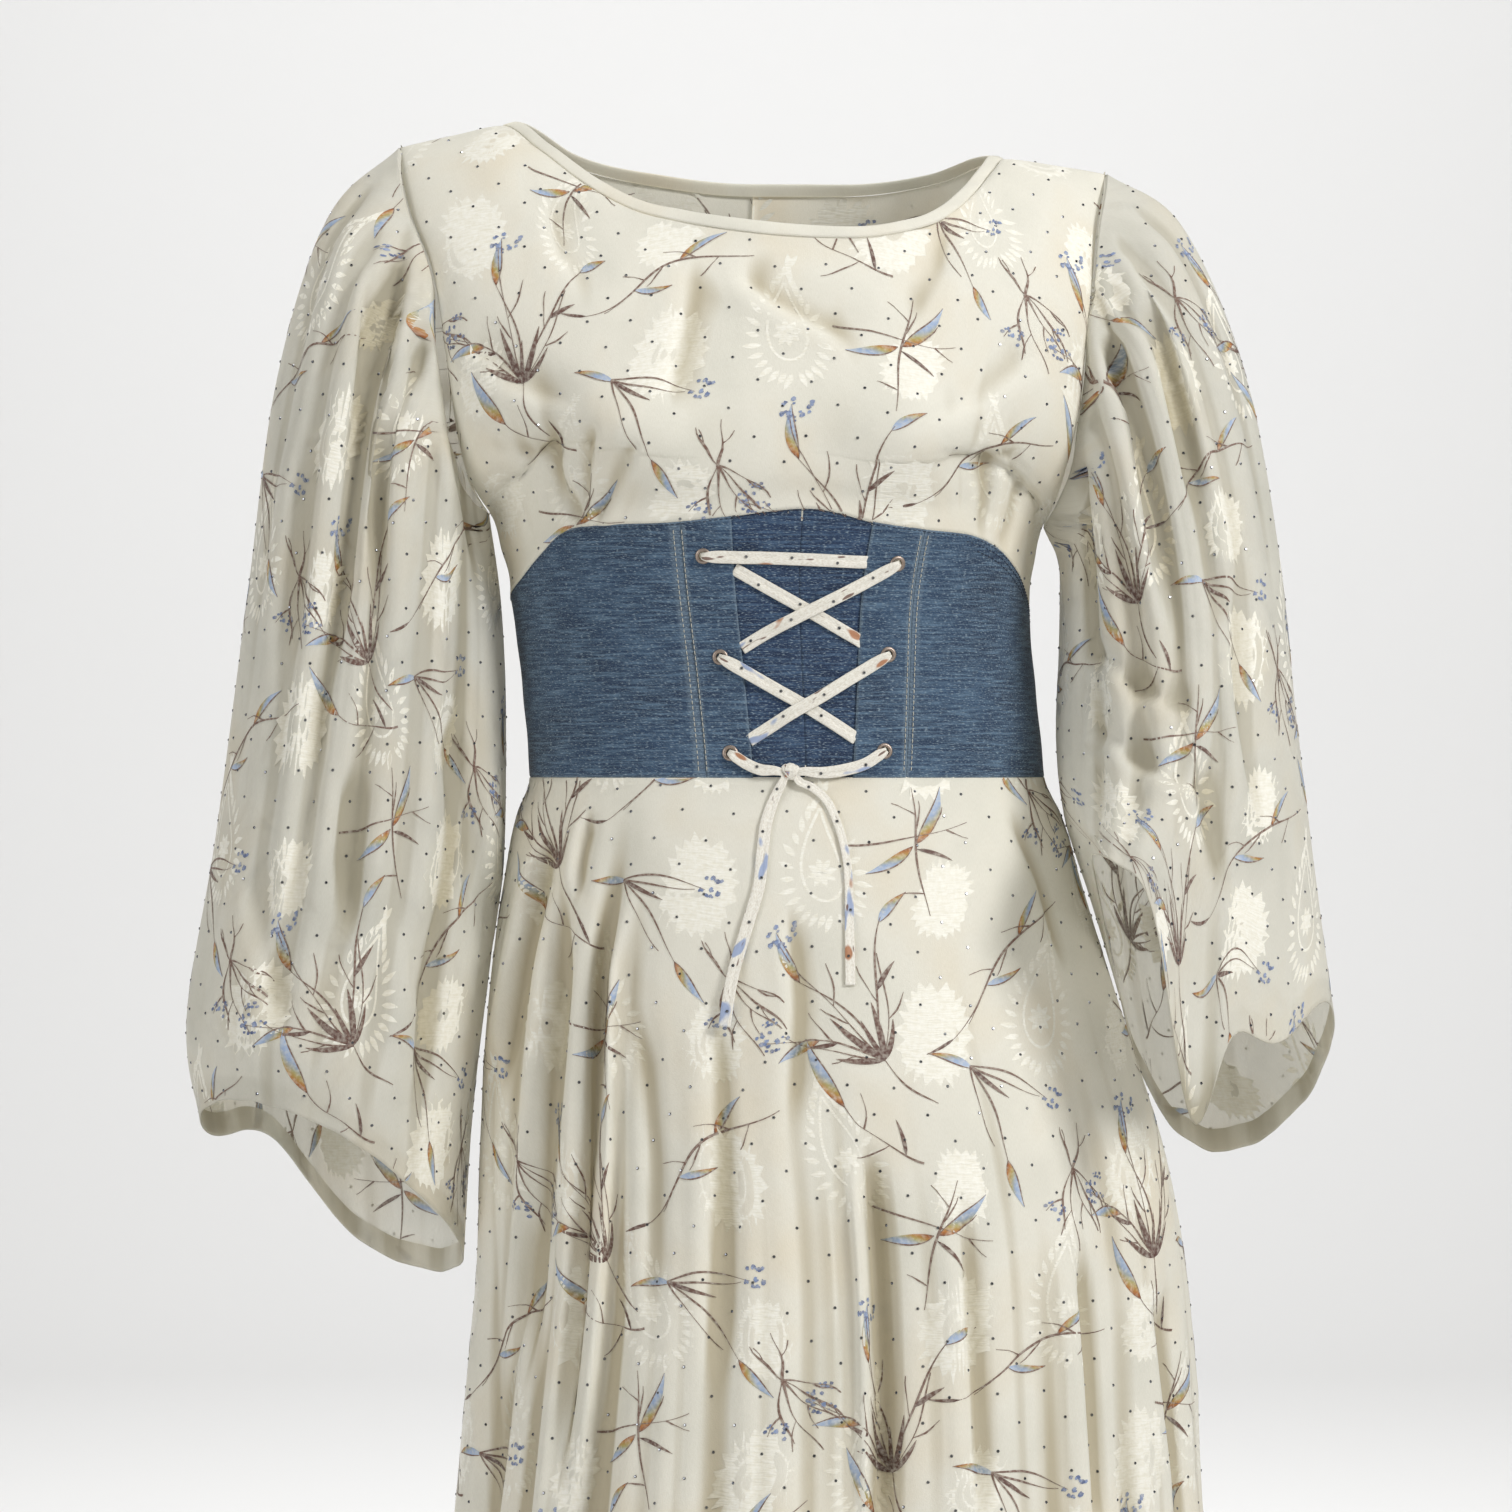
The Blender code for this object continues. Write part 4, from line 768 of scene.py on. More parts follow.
@dataclass
class BotanicalPrint:
    """The tossed print: fine brown sprigs with leaves that run from blue to rust, and blue florets."""

    stem: tuple[float, float, float] = srgb(122, 94, 82)
    dark: tuple[float, float, float] = srgb(90, 60, 54)
    blue: tuple[float, float, float] = srgb(150, 172, 206)
    pale: tuple[float, float, float] = srgb(186, 202, 224)
    olive: tuple[float, float, float] = srgb(178, 168, 96)
    rust: tuple[float, float, float] = srgb(184, 112, 52)
    floret: tuple[float, float, float] = srgb(142, 160, 198)
    ink: tuple[float, float, float] = srgb(86, 100, 138)
    repeat: tuple[float, float] = (186.0, 214.0)
    # across, up, drawing, turn in degrees, mirrored
    layout: Rows = (
        (24, 30, 0, 24, 0), (120, 54, 1, 118, 0), (62, 122, 2, -48, 1), (150, 148, 3, 196, 0),
        (28, 186, 4, 72, 0), (108, 194, 5, -128, 1),
    )

    def twig(self, art: Drawing, start: tuple[float, float], heading: float, length: float, bend: float,
             thick: float = 0.5, sway: float = 6.0) -> np.ndarray:
        """A fine stem that swells and thins like a pen line."""
        line = bent_line(start, heading, length, bend, sway)
        share = np.linspace(0, 1, len(line))
        half = thick * (0.55 + 0.45 * np.sin(share * 5 + length)) * (1 - share**3 * 0.75) + 0.12
        art.stroke(line, half, self.stem, 2.0)
        return line

    def blade(self, art: Drawing, start: tuple[float, float], heading: float, length: float, bend: float,
              wide: float = 1.1) -> None:
        """A narrow dark blade of grass."""
        line = bent_line(start, heading, length, bend)
        share = np.linspace(0, 1, len(line))
        half = wide * np.sin(np.pi * share**0.7) ** 0.8 + 0.1
        tone = np.array(self.dark) * (1 - share[:, None]) + np.array(self.stem) * share[:, None]
        art.stroke(line, half, tone, 2.4)

    def leaf(self, art: Drawing, start: tuple[float, float], heading: float, length: float, wide: float,
             bend: float = 14.0, turned: bool = False) -> None:
        """A lens-shaped leaf, rust at its stalk and blue at its tip, with a dark edge."""
        line = bent_line(start, heading, length * 1.22, bend * 1.5, step=2.4)
        share = np.linspace(0, 1, len(line))
        half = wide * np.sin(np.pi * share**0.8) ** 1.1 * (1 - 0.25 * share) + 0.12
        tone = (share[::-1] if turned else share)[:, None] + np.array([0.24, 0.04, -0.2]) * np.sin(np.pi * share)[:, None]
        stops = np.array([self.dark, self.rust, self.olive, self.blue, self.pale])
        colours = np.stack([np.interp(tone, (0.0, 0.12, 0.36, 0.58, 1.0), stops[:, n]) for n in range(3)], axis=-1)
        art.stroke(line, half, colours, 1.0, across=2)
        way = unit(np.gradient(line, axis=0))
        edge = line + np.stack([way[:, 1], -way[:, 0]], axis=-1) * half[:, None]
        art.stroke(edge, 0.30 * np.sin(np.pi * share) + 0.12, self.stem, 2.2)

    def florets(self, art: Drawing, middle: tuple[float, float], spread: float, count: int, seed: int) -> None:
        """A loose cluster of small blue florets."""
        rng = np.random.default_rng(seed)
        for _ in range(count):
            away = spread * math.sqrt(rng.random())
            turn = rng.random() * 6.283
            size = 0.7 + 1.1 * rng.random()
            angle = np.linspace(0, 2 * np.pi, 7)[:-1] + rng.random()
            radius = size * (0.62 + 0.5 * rng.random(6))
            rim = np.stack([np.cos(angle), 0.8 * np.sin(angle)], axis=-1) * radius[:, None]
            centre = np.array(middle) + (away * math.cos(turn), 0.8 * away * math.sin(turn))
            points = np.concatenate([[centre], centre + rim])
            faces = [(0, n + 1, (n + 1) % 6 + 1) for n in range(6)]
            tone = np.array(self.floret) * (share := rng.random()) + np.array(self.ink) * (1 - share)
            art.add(points, faces, tone, 1.6 + 0.5 * rng.random())

    def bouquet(self) -> Drawing:
        """A wide fan of stems, leaves and two clusters."""
        art = Drawing()
        ends = []
        for heading, length, bend, thick in ((-58, 58, 38, 0.5), (-36, 70, -16, 0.55), (-14, 84, 20, 0.6),
                                             (6, 62, -30, 0.5), (24, 80, 26, 0.6), (46, 60, -22, 0.5),
                                             (184, 36, -34, 0.6)):
            ends.append(self.twig(art, (0, -34), heading, length, bend, thick))
        for n, at, heading, length, bend in ((0, 5, -80, 15, 20), (1, 9, -10, 20, 24), (2, 12, 44, 24, -30),
                                             (4, 10, -6, 22, 26), (5, 7, 78, 18, -24), (2, 8, -40, 18, 30)):
            self.twig(art, tuple(ends[n][at]), heading, length, bend, 0.42)
        for heading, length, bend, wide in ((-24, 36, 16, 1.9), (34, 32, -14, 1.7), (-66, 28, 24, 1.5), (66, 24, -30, 1.3),
                                            (4, 24, 8, 1.3)):
            self.blade(art, (0, -34), heading, length, bend, wide)
        self.blade(art, tuple(ends[4][12]), 60, 20, 14, 1.3)
        self.blade(art, tuple(ends[1][8]), -70, 18, 24, 1.1)
        self.leaf(art, tuple(ends[3][-1]), 2, 25, 3.4)
        self.leaf(art, tuple(ends[1][11]), -64, 22, 3.0, -16)
        self.leaf(art, tuple(ends[4][-2]), 62, 19, 2.7, 20, True)
        self.florets(art, tuple(ends[0][-1] + (-4, 4)), 10, 26, 3)
        self.florets(art, tuple(ends[2][-1] + (5, 3)), 9, 20, 4)
        return art

    def willow(self) -> Drawing:
        """A long swaying twig with small side twigs and two narrow leaves."""
        art = Drawing()
        main = self.twig(art, (0, -56), 4, 112, -14, 0.6, 16)
        for at, heading, length, bend in ((6, -42, 16, 24), (10, 46, 20, -26), (16, -36, 18, 22),
                                          (21, 40, 15, -18), (27, -30, 14, 20)):
            self.twig(art, tuple(main[at]), heading, length, bend, 0.38)
        self.leaf(art, tuple(main[13]), 150, 24, 2.3, 18)
        self.leaf(art, tuple(main[24]), -150, 20, 2.1, -16, True)
        self.blade(art, tuple(main[-1]), 8, 18, 12, 0.8)
        return art

    def crossed(self) -> Drawing:
        """Two crossed twigs with a pair of leaves where they meet."""
        art = Drawing()
        first = self.twig(art, (-30, -26), 48, 74, -12, 0.6)
        second = self.twig(art, (30, -22), -52, 70, 16, 0.5)
        for line, at, heading, length in ((first, 15, 12, 18), (first, 18, 84, 15), (second, 14, -8, 17),
                                          (second, 17, -90, 14), (first, 4, 110, 12)):
            self.twig(art, tuple(line[at]), heading, length, 26, 0.4)
        self.leaf(art, (0, 2), -6, 30, 3.6, 18)
        self.leaf(art, (1, 0), 168, 25, 3.0, -14)
        self.blade(art, (-2, 0), -66, 22, -18, 1.0)
        return art

    def antlers(self) -> Drawing:
        """Short curved twigs that branch like antlers over a pale smudge."""
        art = Drawing()
        for heading, length, bend in ((-70, 34, 50), (-44, 42, 34), (-20, 40, -10), (10, 46, -24),
                                      (38, 36, -40), (150, 24, 30), (-150, 26, -24)):
            line = self.twig(art, (0, -8), heading, length, bend, 0.75, 12)
            self.twig(art, tuple(line[len(line) // 2]), heading + 40, length * 0.36, -30, 0.42)
        self.florets(art, (16, 14), 7, 12, 9)
        return art

    def leaf_drop(self) -> Drawing:
        """One long leaf on a curling stalk."""
        art = Drawing()
        stalk = self.twig(art, (-4, -40), -20, 52, 44, 0.55, 10)
        self.leaf(art, tuple(stalk[-1]), 24, 34, 4.0, 16)
        self.twig(art, tuple(stalk[6]), -70, 24, 40, 0.4)
        self.twig(art, tuple(stalk[11]), 80, 20, -40, 0.4)
        self.blade(art, tuple(stalk[3]), 60, 20, -24, 1.0)
        return art

    def posy(self) -> Drawing:
        """A small bouquet with one cluster."""
        art = Drawing()
        ends = [self.twig(art, (0, -26), h, n, b, 0.5) for h, n, b in
                ((-40, 46, 26), (-12, 56, -20), (14, 44, 24), (40, 50, -26))]
        self.leaf(art, tuple(ends[1][-1]), -30, 22, 2.8, 12)
        self.leaf(art, (0, -24), 196, 22, 2.4, 20, True)
        self.blade(art, (0, -24), 4, 26, 10, 1.1)
        self.florets(art, tuple(ends[3][-1] + (3, 3)), 8.5, 22, 7)
        return art

    def drawings(self) -> list[tuple[np.ndarray, np.ndarray, np.ndarray, np.ndarray]]:
        """Every drawing, in the order that the layout names them."""
        made = (self.bouquet(), self.willow(), self.crossed(), self.antlers(), self.leaf_drop(), self.posy())
        return [art.arrays() for art in made]


@dataclass
class JacquardFigures:
    """The tone-on-tone paisleys and feathered satin patches woven into the cloth."""

    white: tuple[float, float, float] = (1.0, 1.0, 1.0)
    repeat: tuple[float, float] = (128.0, 158.0)
    # across, up, drawing, turn in degrees, mirrored
    layout: Rows = ((30, 46, 0, 14, 0), (94, 108, 1, -20, 0), (100, 24, 2, 160, 1))

    def paisley(self) -> Drawing:
        """A teardrop of feathered leaflets with a curled tip, an inner line and a flower."""
        art = Drawing()

        def outline(wide: float, tall: float, count: int) -> np.ndarray:
            """Points round a teardrop whose tip leans over."""
            phi = np.linspace(0.25, 2 * np.pi - 0.25, count)
            x = wide * np.sin(phi) * np.sin(phi / 2) ** 1.3
            y = tall * np.cos(phi)
            return np.stack([x + 0.0075 * np.clip(y + 10, 0, None) ** 2, y], axis=-1)

        rim = outline(21, 34, 34)
        away = unit(rim - (2, -8))
        for n, (spot, way) in enumerate(zip(rim, away)):
            heading = math.degrees(math.atan2(way[0], way[1])) + (22 if n > 16 else -22)
            line = bent_line(tuple(spot), heading, 8.5 + 2.5 * (n % 3) / 2, 10)
            share = np.linspace(0, 1, len(line))
            art.stroke(line, 1.7 * np.sin(np.pi * share**0.8) + 0.1, self.white, 0.2)
        inner = outline(15, 26, 30)
        art.stroke(inner, np.full(30, 0.8), self.white, 0.1)
        for n in range(8):
            line = bent_line((0, -10), n * 45.0, 8.5, 0, step=2.2)
            share = np.linspace(0, 1, len(line))
            art.stroke(line, 1.9 * np.sin(np.pi * share) + 0.1, self.white, 0.1)
        return art

    def patch(self, wide: float, tall: float, seed: int) -> Drawing:
        """A patch of satin whose edge is feathered."""
        art = Drawing()
        rng = np.random.default_rng(seed)
        count = 44
        angle = np.linspace(0, 2 * np.pi, count, endpoint=False)
        edge = np.where(np.arange(count) % 2 == 0, 1.0, 0.82) * (0.90 + 0.16 * rng.random(count))
        rings = [np.zeros((1, 2))]
        for share in (0.25, 0.5, 0.75, 1.0):
            radius = share * (edge if share == 1.0 else 0.92)
            squared = np.stack([np.cos(angle), np.sin(angle)], axis=-1)
            squared = np.sign(squared) * np.abs(squared) ** 0.8
            rings.append(squared * np.reshape(radius, (-1, 1)) * (wide, tall))
        faces = [(0, n + 1, (n + 1) % count + 1) for n in range(count)]
        for ring in range(3):
            low = 1 + ring * count
            for n in range(count):
                m = (n + 1) % count
                faces.append((low + n, low + count + n, low + count + m))
                faces.append((low + n, low + count + m, low + m))
        art.add(np.concatenate(rings), np.array(faces), self.white, 0.0)
        return art

    def drawings(self) -> list[tuple[np.ndarray, np.ndarray, np.ndarray, np.ndarray]]:
        """Every figure, in the order that the layout names them."""
        return [art.arrays() for art in (self.paisley(), self.patch(22, 30, 5), self.patch(17, 24, 8))]


class ClothPattern:
    """Lays a repeat of drawings over a panel."""

    def __init__(self, art: BotanicalPrint | JacquardFigures, finish: Finish, lift: float, layer: float) -> None:
        """Keep the drawings, and how far they and each of their layers lie above the cloth."""
        self.art = art
        self.drawings = art.drawings()
        self.finish = finish
        self.lift = lift
        self.layer = layer
        # share of each colour that the painted shade in the folds takes away
        self.painted_shade_share = np.array([0.42, 0.46, 0.56])

    def lay(self, panel: ClothPanel, name: str, shift: tuple[float, float], inside_too: bool) -> bpy.types.Object:
        """Cover a panel with the repeat.

        Args:
            panel: The panel.
            name: Name of the new piece.
            shift: Where the repeat begins on this panel, since each panel is cut from the cloth apart.
            inside_too: Whether it shows through on the inside, for a panel whose inside is in view.

        Returns:
            The piece.
        """
        low, high = panel.reach()
        wide, tall = self.art.repeat
        points, faces, colours, lifts = [], [], [], []
        count = 0
        for across in range(int((low[0] - shift[0]) // wide) - 1, int((high[0] - shift[0]) // wide) + 2):
            drop = tall / 2 if across % 2 else 0.0
            for up in range(int((low[1] - shift[1]) // tall) - 2, int((high[1] - shift[1]) // tall) + 2):
                for x, y, drawing, turn, flip in self.art.layout:
                    place = np.array([across * wide + x + shift[0], up * tall + y + drop + shift[1]])
                    if (place < low - 60).any() or (place > high + 60).any():
                        continue
                    shape, sides, tones, layers = self.drawings[int(drawing)]
                    angle = math.radians(turn + 9 * ((across * 5 + up * 3) % 4 - 1.5))
                    spin = np.array([[math.cos(angle), -math.sin(angle)], [math.sin(angle), math.cos(angle)]])
                    mirrored = shape * (-1 if flip else 1, 1)
                    points.append(mirrored @ spin.T + place)
                    faces.append((sides[:, ::-1] if flip else sides) + count)
                    colours.append(tones)
                    lifts.append(self.lift + self.layer * layers)
                    count += len(shape)
        spots = np.concatenate(points)
        lifts = np.concatenate(lifts)
        worn, normals, ok = panel.place(spots, lifts)
        sides = np.concatenate(faces)
        sides = sides[ok[sides].all(axis=1)]
        used, fresh = np.unique(sides, return_inverse=True)
        sides = fresh.reshape(sides.shape)
        # painted shade: the print and figures are darkened where they lie deep in the folds
        tones = np.concatenate(colours)[used] * (1 - panel.shade[used, None] * self.painted_shade_share)
        points, spots = worn[used], spots[used]
        if inside_too:
            sides = np.concatenate([sides, sides[:, ::-1] + len(used)])
            points = np.concatenate([points, points - 2 * normals[used] * lifts[used, None]])
            spots, tones = np.concatenate([spots, spots]), np.concatenate([tones, tones * 0.85 + 0.1])
        piece = make_piece(name, points, sides, self.finish.material(), spots, tones)
        return piece


@dataclass
class Rhinestones:
    """Small dark stones set over the whole cloth in a centred lattice."""

    across: float = 29.0
    up: float = 30.0
    radius: float = 0.95
    height: float = 0.6

    def set_on(self, panel: ClothPanel, name: str, shift: tuple[float, float]) -> bpy.types.Object:
        """Set the stones on a panel.

        Args:
            panel: The panel.
            name: Name of the new piece.
            shift: Where the lattice begins on this panel.

        Returns:
            The piece.
        """
        low, high = panel.reach()
        rng = np.random.default_rng(len(name) + int(abs(shift[0])))
        spots = []
        for row in range(int((high[1] - low[1]) / self.up * 2) + 2):
            start = low[0] + shift[0] % self.across + (self.across / 2 if row % 2 else 0.0)
            places = np.arange(start, high[0], self.across)
            heights = np.full(len(places), low[1] + shift[1] % self.up + row * self.up / 2)
            spots.append(np.stack([places, heights], axis=-1))
        spots = np.concatenate(spots)
        spots = spots + rng.normal(0, 0.8, spots.shape)
        centres, normals, ok = panel.place(spots, 0.0)
        margin = 4.0
        inside = ok.copy()
        for step in ((margin, 0), (-margin, 0), (0, margin), (0, -margin)):
            inside &= panel.place(spots + step, 0.0)[2]
        return self.domes(name, centres[inside], normals[inside])

    def domes(self, name: str, centres: np.ndarray, normals: np.ndarray) -> bpy.types.Object:
        """One faceted stone at each place.

        Args:
            name: Name of the new piece.
            centres: Places in millimetres.
            normals: Outward directions.

        Returns:
            The piece.
        """
        across = unit(np.cross(normals, (0.0, 0.2, 1.0)))
        up = np.cross(normals, across)
        angle = np.arange(6) * np.pi / 3
        rings = []
        for share, rise in ((1.0, 0.0), (0.55, self.height)):
            for turn in angle:
                rings.append(centres + normals * rise
                             + (across * math.cos(turn) + up * math.sin(turn)) * self.radius * share)
        points = np.stack(rings, axis=1)
        base = np.arange(len(centres))[:, None] * 12
        sides = [[n, (n + 1) % 6, (n + 1) % 6 + 6, n + 6] for n in range(6)]
        faces = [(row + base).tolist() for row in (np.array([side]) for side in sides)]
        faces = [face for group in faces for face in group]
        faces += (np.array([[6, 7, 8, 9, 10, 11]]) + base).tolist()
        piece = make_piece(name, points.reshape(-1, 3), faces, Finish.STONE.material(), flat_shaded=True)
        return piece


@dataclass
class Trunk:
    """Outer sections of the waist and skirt, and the upper edge of the band."""

    band_bottom: float = -357.0
    hem: float = -1180.0
    power: float = 2.2
    # height, centre x, half width, depth to front, depth to back
    sections: Rows = (
        (-200.0, -2.0, 154.0, 114.0, 94.0), (-257.0, 0.0, 145.0, 105.0, 90.0),
        (-302.0, 4.5, 143.5, 101.0, 88.0), (-357.0, 9.5, 144.0, 102.0, 90.0),
        (-377.0, 10.5, 152.0, 109.0, 97.0), (-416.0, 12.5, 161.5, 120.0, 108.0),
        (-507.0, 21.5, 181.0, 141.0, 126.0), (-560.0, 28.5, 190.5, 153.0, 137.0),
        (-650.0, 34.5, 200.0, 172.0, 158.0), (-768.0, 34.5, 211.0, 195.0, 184.0),
        (-970.0, 40.0, 234.0, 226.0, 216.0), (-1180.0, 46.0, 254.0, 250.0, 242.0),
    )
    # turn from the centre front, height
    band_edge: Rows = (
        (-90.0, -257.0), (-68.0, -246.0), (-56.0, -234.0), (-46.0, -222.5), (-33.0, -219.5), (-18.0, -218.5),
        (-8.0, -216.0), (6.5, -211.0), (22.0, -219.0), (33.0, -222.0), (47.0, -225.0), (58.0, -232.0),
        (68.0, -242.0), (90.0, -263.0), (130.0, -258.0), (180.0, -252.0), (230.0, -254.0), (270.0, -257.0),
    )

    def rounded(self, share: np.ndarray) -> np.ndarray:
        """A sine or cosine made squarer, for a section between an ellipse and a box."""
        return np.sign(share) * np.abs(share) ** (2 / self.power)

    def band_top(self, turn: np.ndarray) -> np.ndarray:
        """Height of the band's upper edge at this turn."""
        return column(self.band_edge, 0, 1, (np.asarray(turn, float) + 90) % 360 - 90)

    def point(self, turn: np.ndarray, z: np.ndarray, out: np.ndarray | float = 0.0) -> np.ndarray:
        """A point on the outside of the band or skirt, moved out by so much."""
        turn, z = np.broadcast_arrays(np.asarray(turn, float), np.asarray(z, float))
        centre, half, front, back = (column(self.sections, 0, n, z) for n in (1, 2, 3, 4))
        angle = np.radians(turn)
        depth = np.where(np.cos(angle) > 0, front, back)
        x = centre + (half + out) * self.rounded(np.sin(angle))
        y = -(depth + out) * self.rounded(np.cos(angle))
        return np.stack([x, y, z], axis=-1)

    def turn_at(self, x: float, z: float) -> float:
        """Turn of the point on the front with this x and height."""
        share = (x - column(self.sections, 0, 1, z)) / column(self.sections, 0, 2, z)
        return math.degrees(math.asin(math.copysign(abs(share) ** (self.power / 2), share)))

    def front_frame(self, x: float, z: float) -> tuple[np.ndarray, np.ndarray]:
        """Point on the front with this x and height, and its outward direction."""
        turn = self.turn_at(x, z)
        across = self.point(turn + 1, z) - self.point(turn - 1, z)
        up = self.point(turn, z + 2) - self.point(turn, z - 2)
        return self.point(turn, z), unit(np.cross(across, up))


TRUNK = Trunk()


@dataclass
class Bodice:
    """The gathered front, the two back halves and the turned neck edge."""

    neck_turn: float = 43.4
    neck_centre_x: float = -9.5
    neck_edge_width: float = 8.0
    underarm_rise: float = 0.19
    rises: tuple[float, ...] = (0.0, 0.08, 0.19, 0.20, 0.22, 0.265, 0.335, 0.44, 0.56, 0.68, 0.80, 0.90, 0.96, 1.0)
    # height, x, y at the front, y at the back
    edge_left: Rows = (
        (-257.0, -145.0, 0.0, 0.0), (-235.0, -149.5, 0.0, 0.0), (-208.7, -157.0, 0.0, 0.0),
        (-206.2, -158.6, -12.0, 13.0), (-201.0, -162.0, -22.0, 24.0), (-189.5, -167.5, -34.0, 36.0),
        (-172.0, -171.5, -45.0, 47.0), (-124.0, -178.5, -52.0, 53.0), (-75.0, -187.0, -48.0, 47.0),
        (-42.0, -200.0, -34.0, 34.0), (-14.0, -206.5, -11.0, 19.0), (-3.0, -207.0, 5.0, 5.0),
    )
    edge_right: Rows = (
        (-263.0, 145.0, 0.0, 0.0), (-240.0, 147.5, 0.0, 0.0), (-216.5, 152.5, 0.0, 0.0),
        (-214.0, 153.6, -12.0, 13.0), (-209.0, 156.0, -22.0, 24.0), (-198.0, 160.0, -34.0, 36.0),
        (-181.0, 164.5, -45.0, 47.0), (-155.0, 170.0, -50.0, 51.0), (-127.0, 173.0, -52.0, 53.0),
        (-81.0, 178.0, -47.0, 46.0), (-48.0, 182.0, -30.0, 34.0), (-27.0, 186.5, -9.0, 19.0),
        (-18.0, 188.0, 5.0, 5.0),
    )
    # x, y, z along the upper edge
    top_front: Rows = (
        (-207.0, 5.0, -3.0), (-175.0, 10.0, 4.5), (-150.0, 10.0, 9.3), (-130.0, -16.0, -6.0),
        (-102.0, -43.0, -29.0), (-74.0, -59.0, -45.0), (-51.0, -67.0, -51.5), (-2.0, -76.0, -59.5),
        (43.0, -76.0, -61.5), (78.0, -68.0, -56.0), (92.0, -61.0, -51.0), (114.0, -33.0, -32.0),
        (126.0, -6.0, -16.0), (131.0, 10.0, -9.5), (160.0, 10.0, -13.0), (188.0, 5.0, -18.0),
    )
    top_back: Rows = (
        (-207.0, 5.0, -3.0), (-175.0, 10.0, 4.5), (-150.0, 10.0, 9.3), (-116.0, 46.0, -7.0),
        (-62.0, 68.0, -19.0), (-9.5, 75.0, -24.0), (43.0, 68.0, -24.0), (97.0, 46.0, -18.0),
        (131.0, 10.0, -9.5), (160.0, 10.0, -13.0), (188.0, 5.0, -18.0),
    )
    # height, depth at the middle
    depth_front: Rows = ((-263.0, 106.0), (-211.0, 113.0), (-185.0, 118.0), (-155.0, 115.0), (-115.0, 102.0),
                         (-85.0, 90.0), (-58.0, 76.0), (10.0, 60.0))
    depth_back: Rows = ((-258.0, 90.0), (-200.0, 97.0), (-140.0, 102.0), (-80.0, 94.0), (-24.0, 75.0), (10.0, 60.0))
    # x, z, how far out, spread across, spread up
    cups: Rows = ((-78.0, -172.0, 13.0, 36.0, 30.0), (80.0, -174.0, 13.0, 36.0, 30.0))
    # turn, lean, depth, half width, length
    gathers: Rows = (
        (-57.0, -10.0, 2.6, 2.6, 0.34), (-50.5, -5.0, 3.4, 2.4, 0.44), (-44.0, -1.0, 3.8, 2.4, 0.50),
        (-37.5, 3.0, 3.0, 2.6, 0.42), (-30.0, 6.0, 2.0, 3.0, 0.30), (36.0, -5.0, 2.2, 3.0, 0.30),
        (43.5, -2.0, 3.2, 2.6, 0.40), (50.5, 2.0, 3.4, 2.6, 0.42), (57.5, 7.0, 2.4, 2.8, 0.32),
        (-63.0, -14.0, 1.3, 1.3, 0.26), (-53.8, -8.0, 1.5, 1.1, 0.30), (-47.3, -3.0, 1.7, 1.0, 0.36),
        (-40.8, 1.5, 1.5, 1.1, 0.32), (-33.6, 5.0, 1.2, 1.2, 0.24), (39.8, -3.6, 1.2, 1.2, 0.24),
        (47.0, 0.0, 1.5, 1.1, 0.30), (54.2, 5.0, 1.3, 1.2, 0.28), (-22.0, 6.0, 0.9, 1.5, 0.20),
        (26.0, -4.0, 0.9, 1.6, 0.22),
    )
    creases: tuple[Crease, ...] = (
        Crease(((728, 263), (800, 306), (870, 343)), 2.6, 9.0, 0.5),
        Crease(((700, 250), (690, 330), (672, 420)), 1.6, 11.0),
        Crease(((452, 330), (520, 380), (590, 410)), 1.8, 10.0),
        Crease(((470, 440), (530, 452), (585, 446)), 1.4, 8.0),
        Crease(((1042, 340), (980, 392), (920, 420)), 1.8, 10.0, 0.35, -1.0),
        Crease(((1030, 450), (976, 462), (930, 456)), 1.3, 8.0),
        Crease(((583, 528), (560, 480), (552, 430)), 2.2, 4.0),
        Crease(((583, 528), (586, 470), (596, 420)), 2.0, 4.0),
        Crease(((590, 528), (620, 478), (640, 440)), 1.7, 4.5),
        Crease(((985, 545), (994, 492), (986, 440)), 1.6, 5.0),
        Crease(((1005, 552), (1022, 502), (1024, 470)), 1.4, 4.5),
        Crease(((548, 180), (560, 240), (600, 300)), 1.2, 10.0),
        Crease(((950, 200), (940, 260), (905, 320)), 1.3, 10.0, 0.35, -1.0),
    )

    def gathered(self, turn: np.ndarray, rise: np.ndarray) -> np.ndarray:
        """How far the gathers above the band sink into the front."""
        sunk = np.zeros(np.broadcast(turn, rise).shape)
        for at, lean, depth, half, length in self.gathers:
            line = at + lean * rise / length
            fade = ease(rise, 0.0, 0.07) * (1 - ease(rise, 0.2 * length, length))
            sunk = sunk + depth * fade * np.exp(-(((turn - line) / (half * (1 + rise / length))) ** 2))
        return sunk

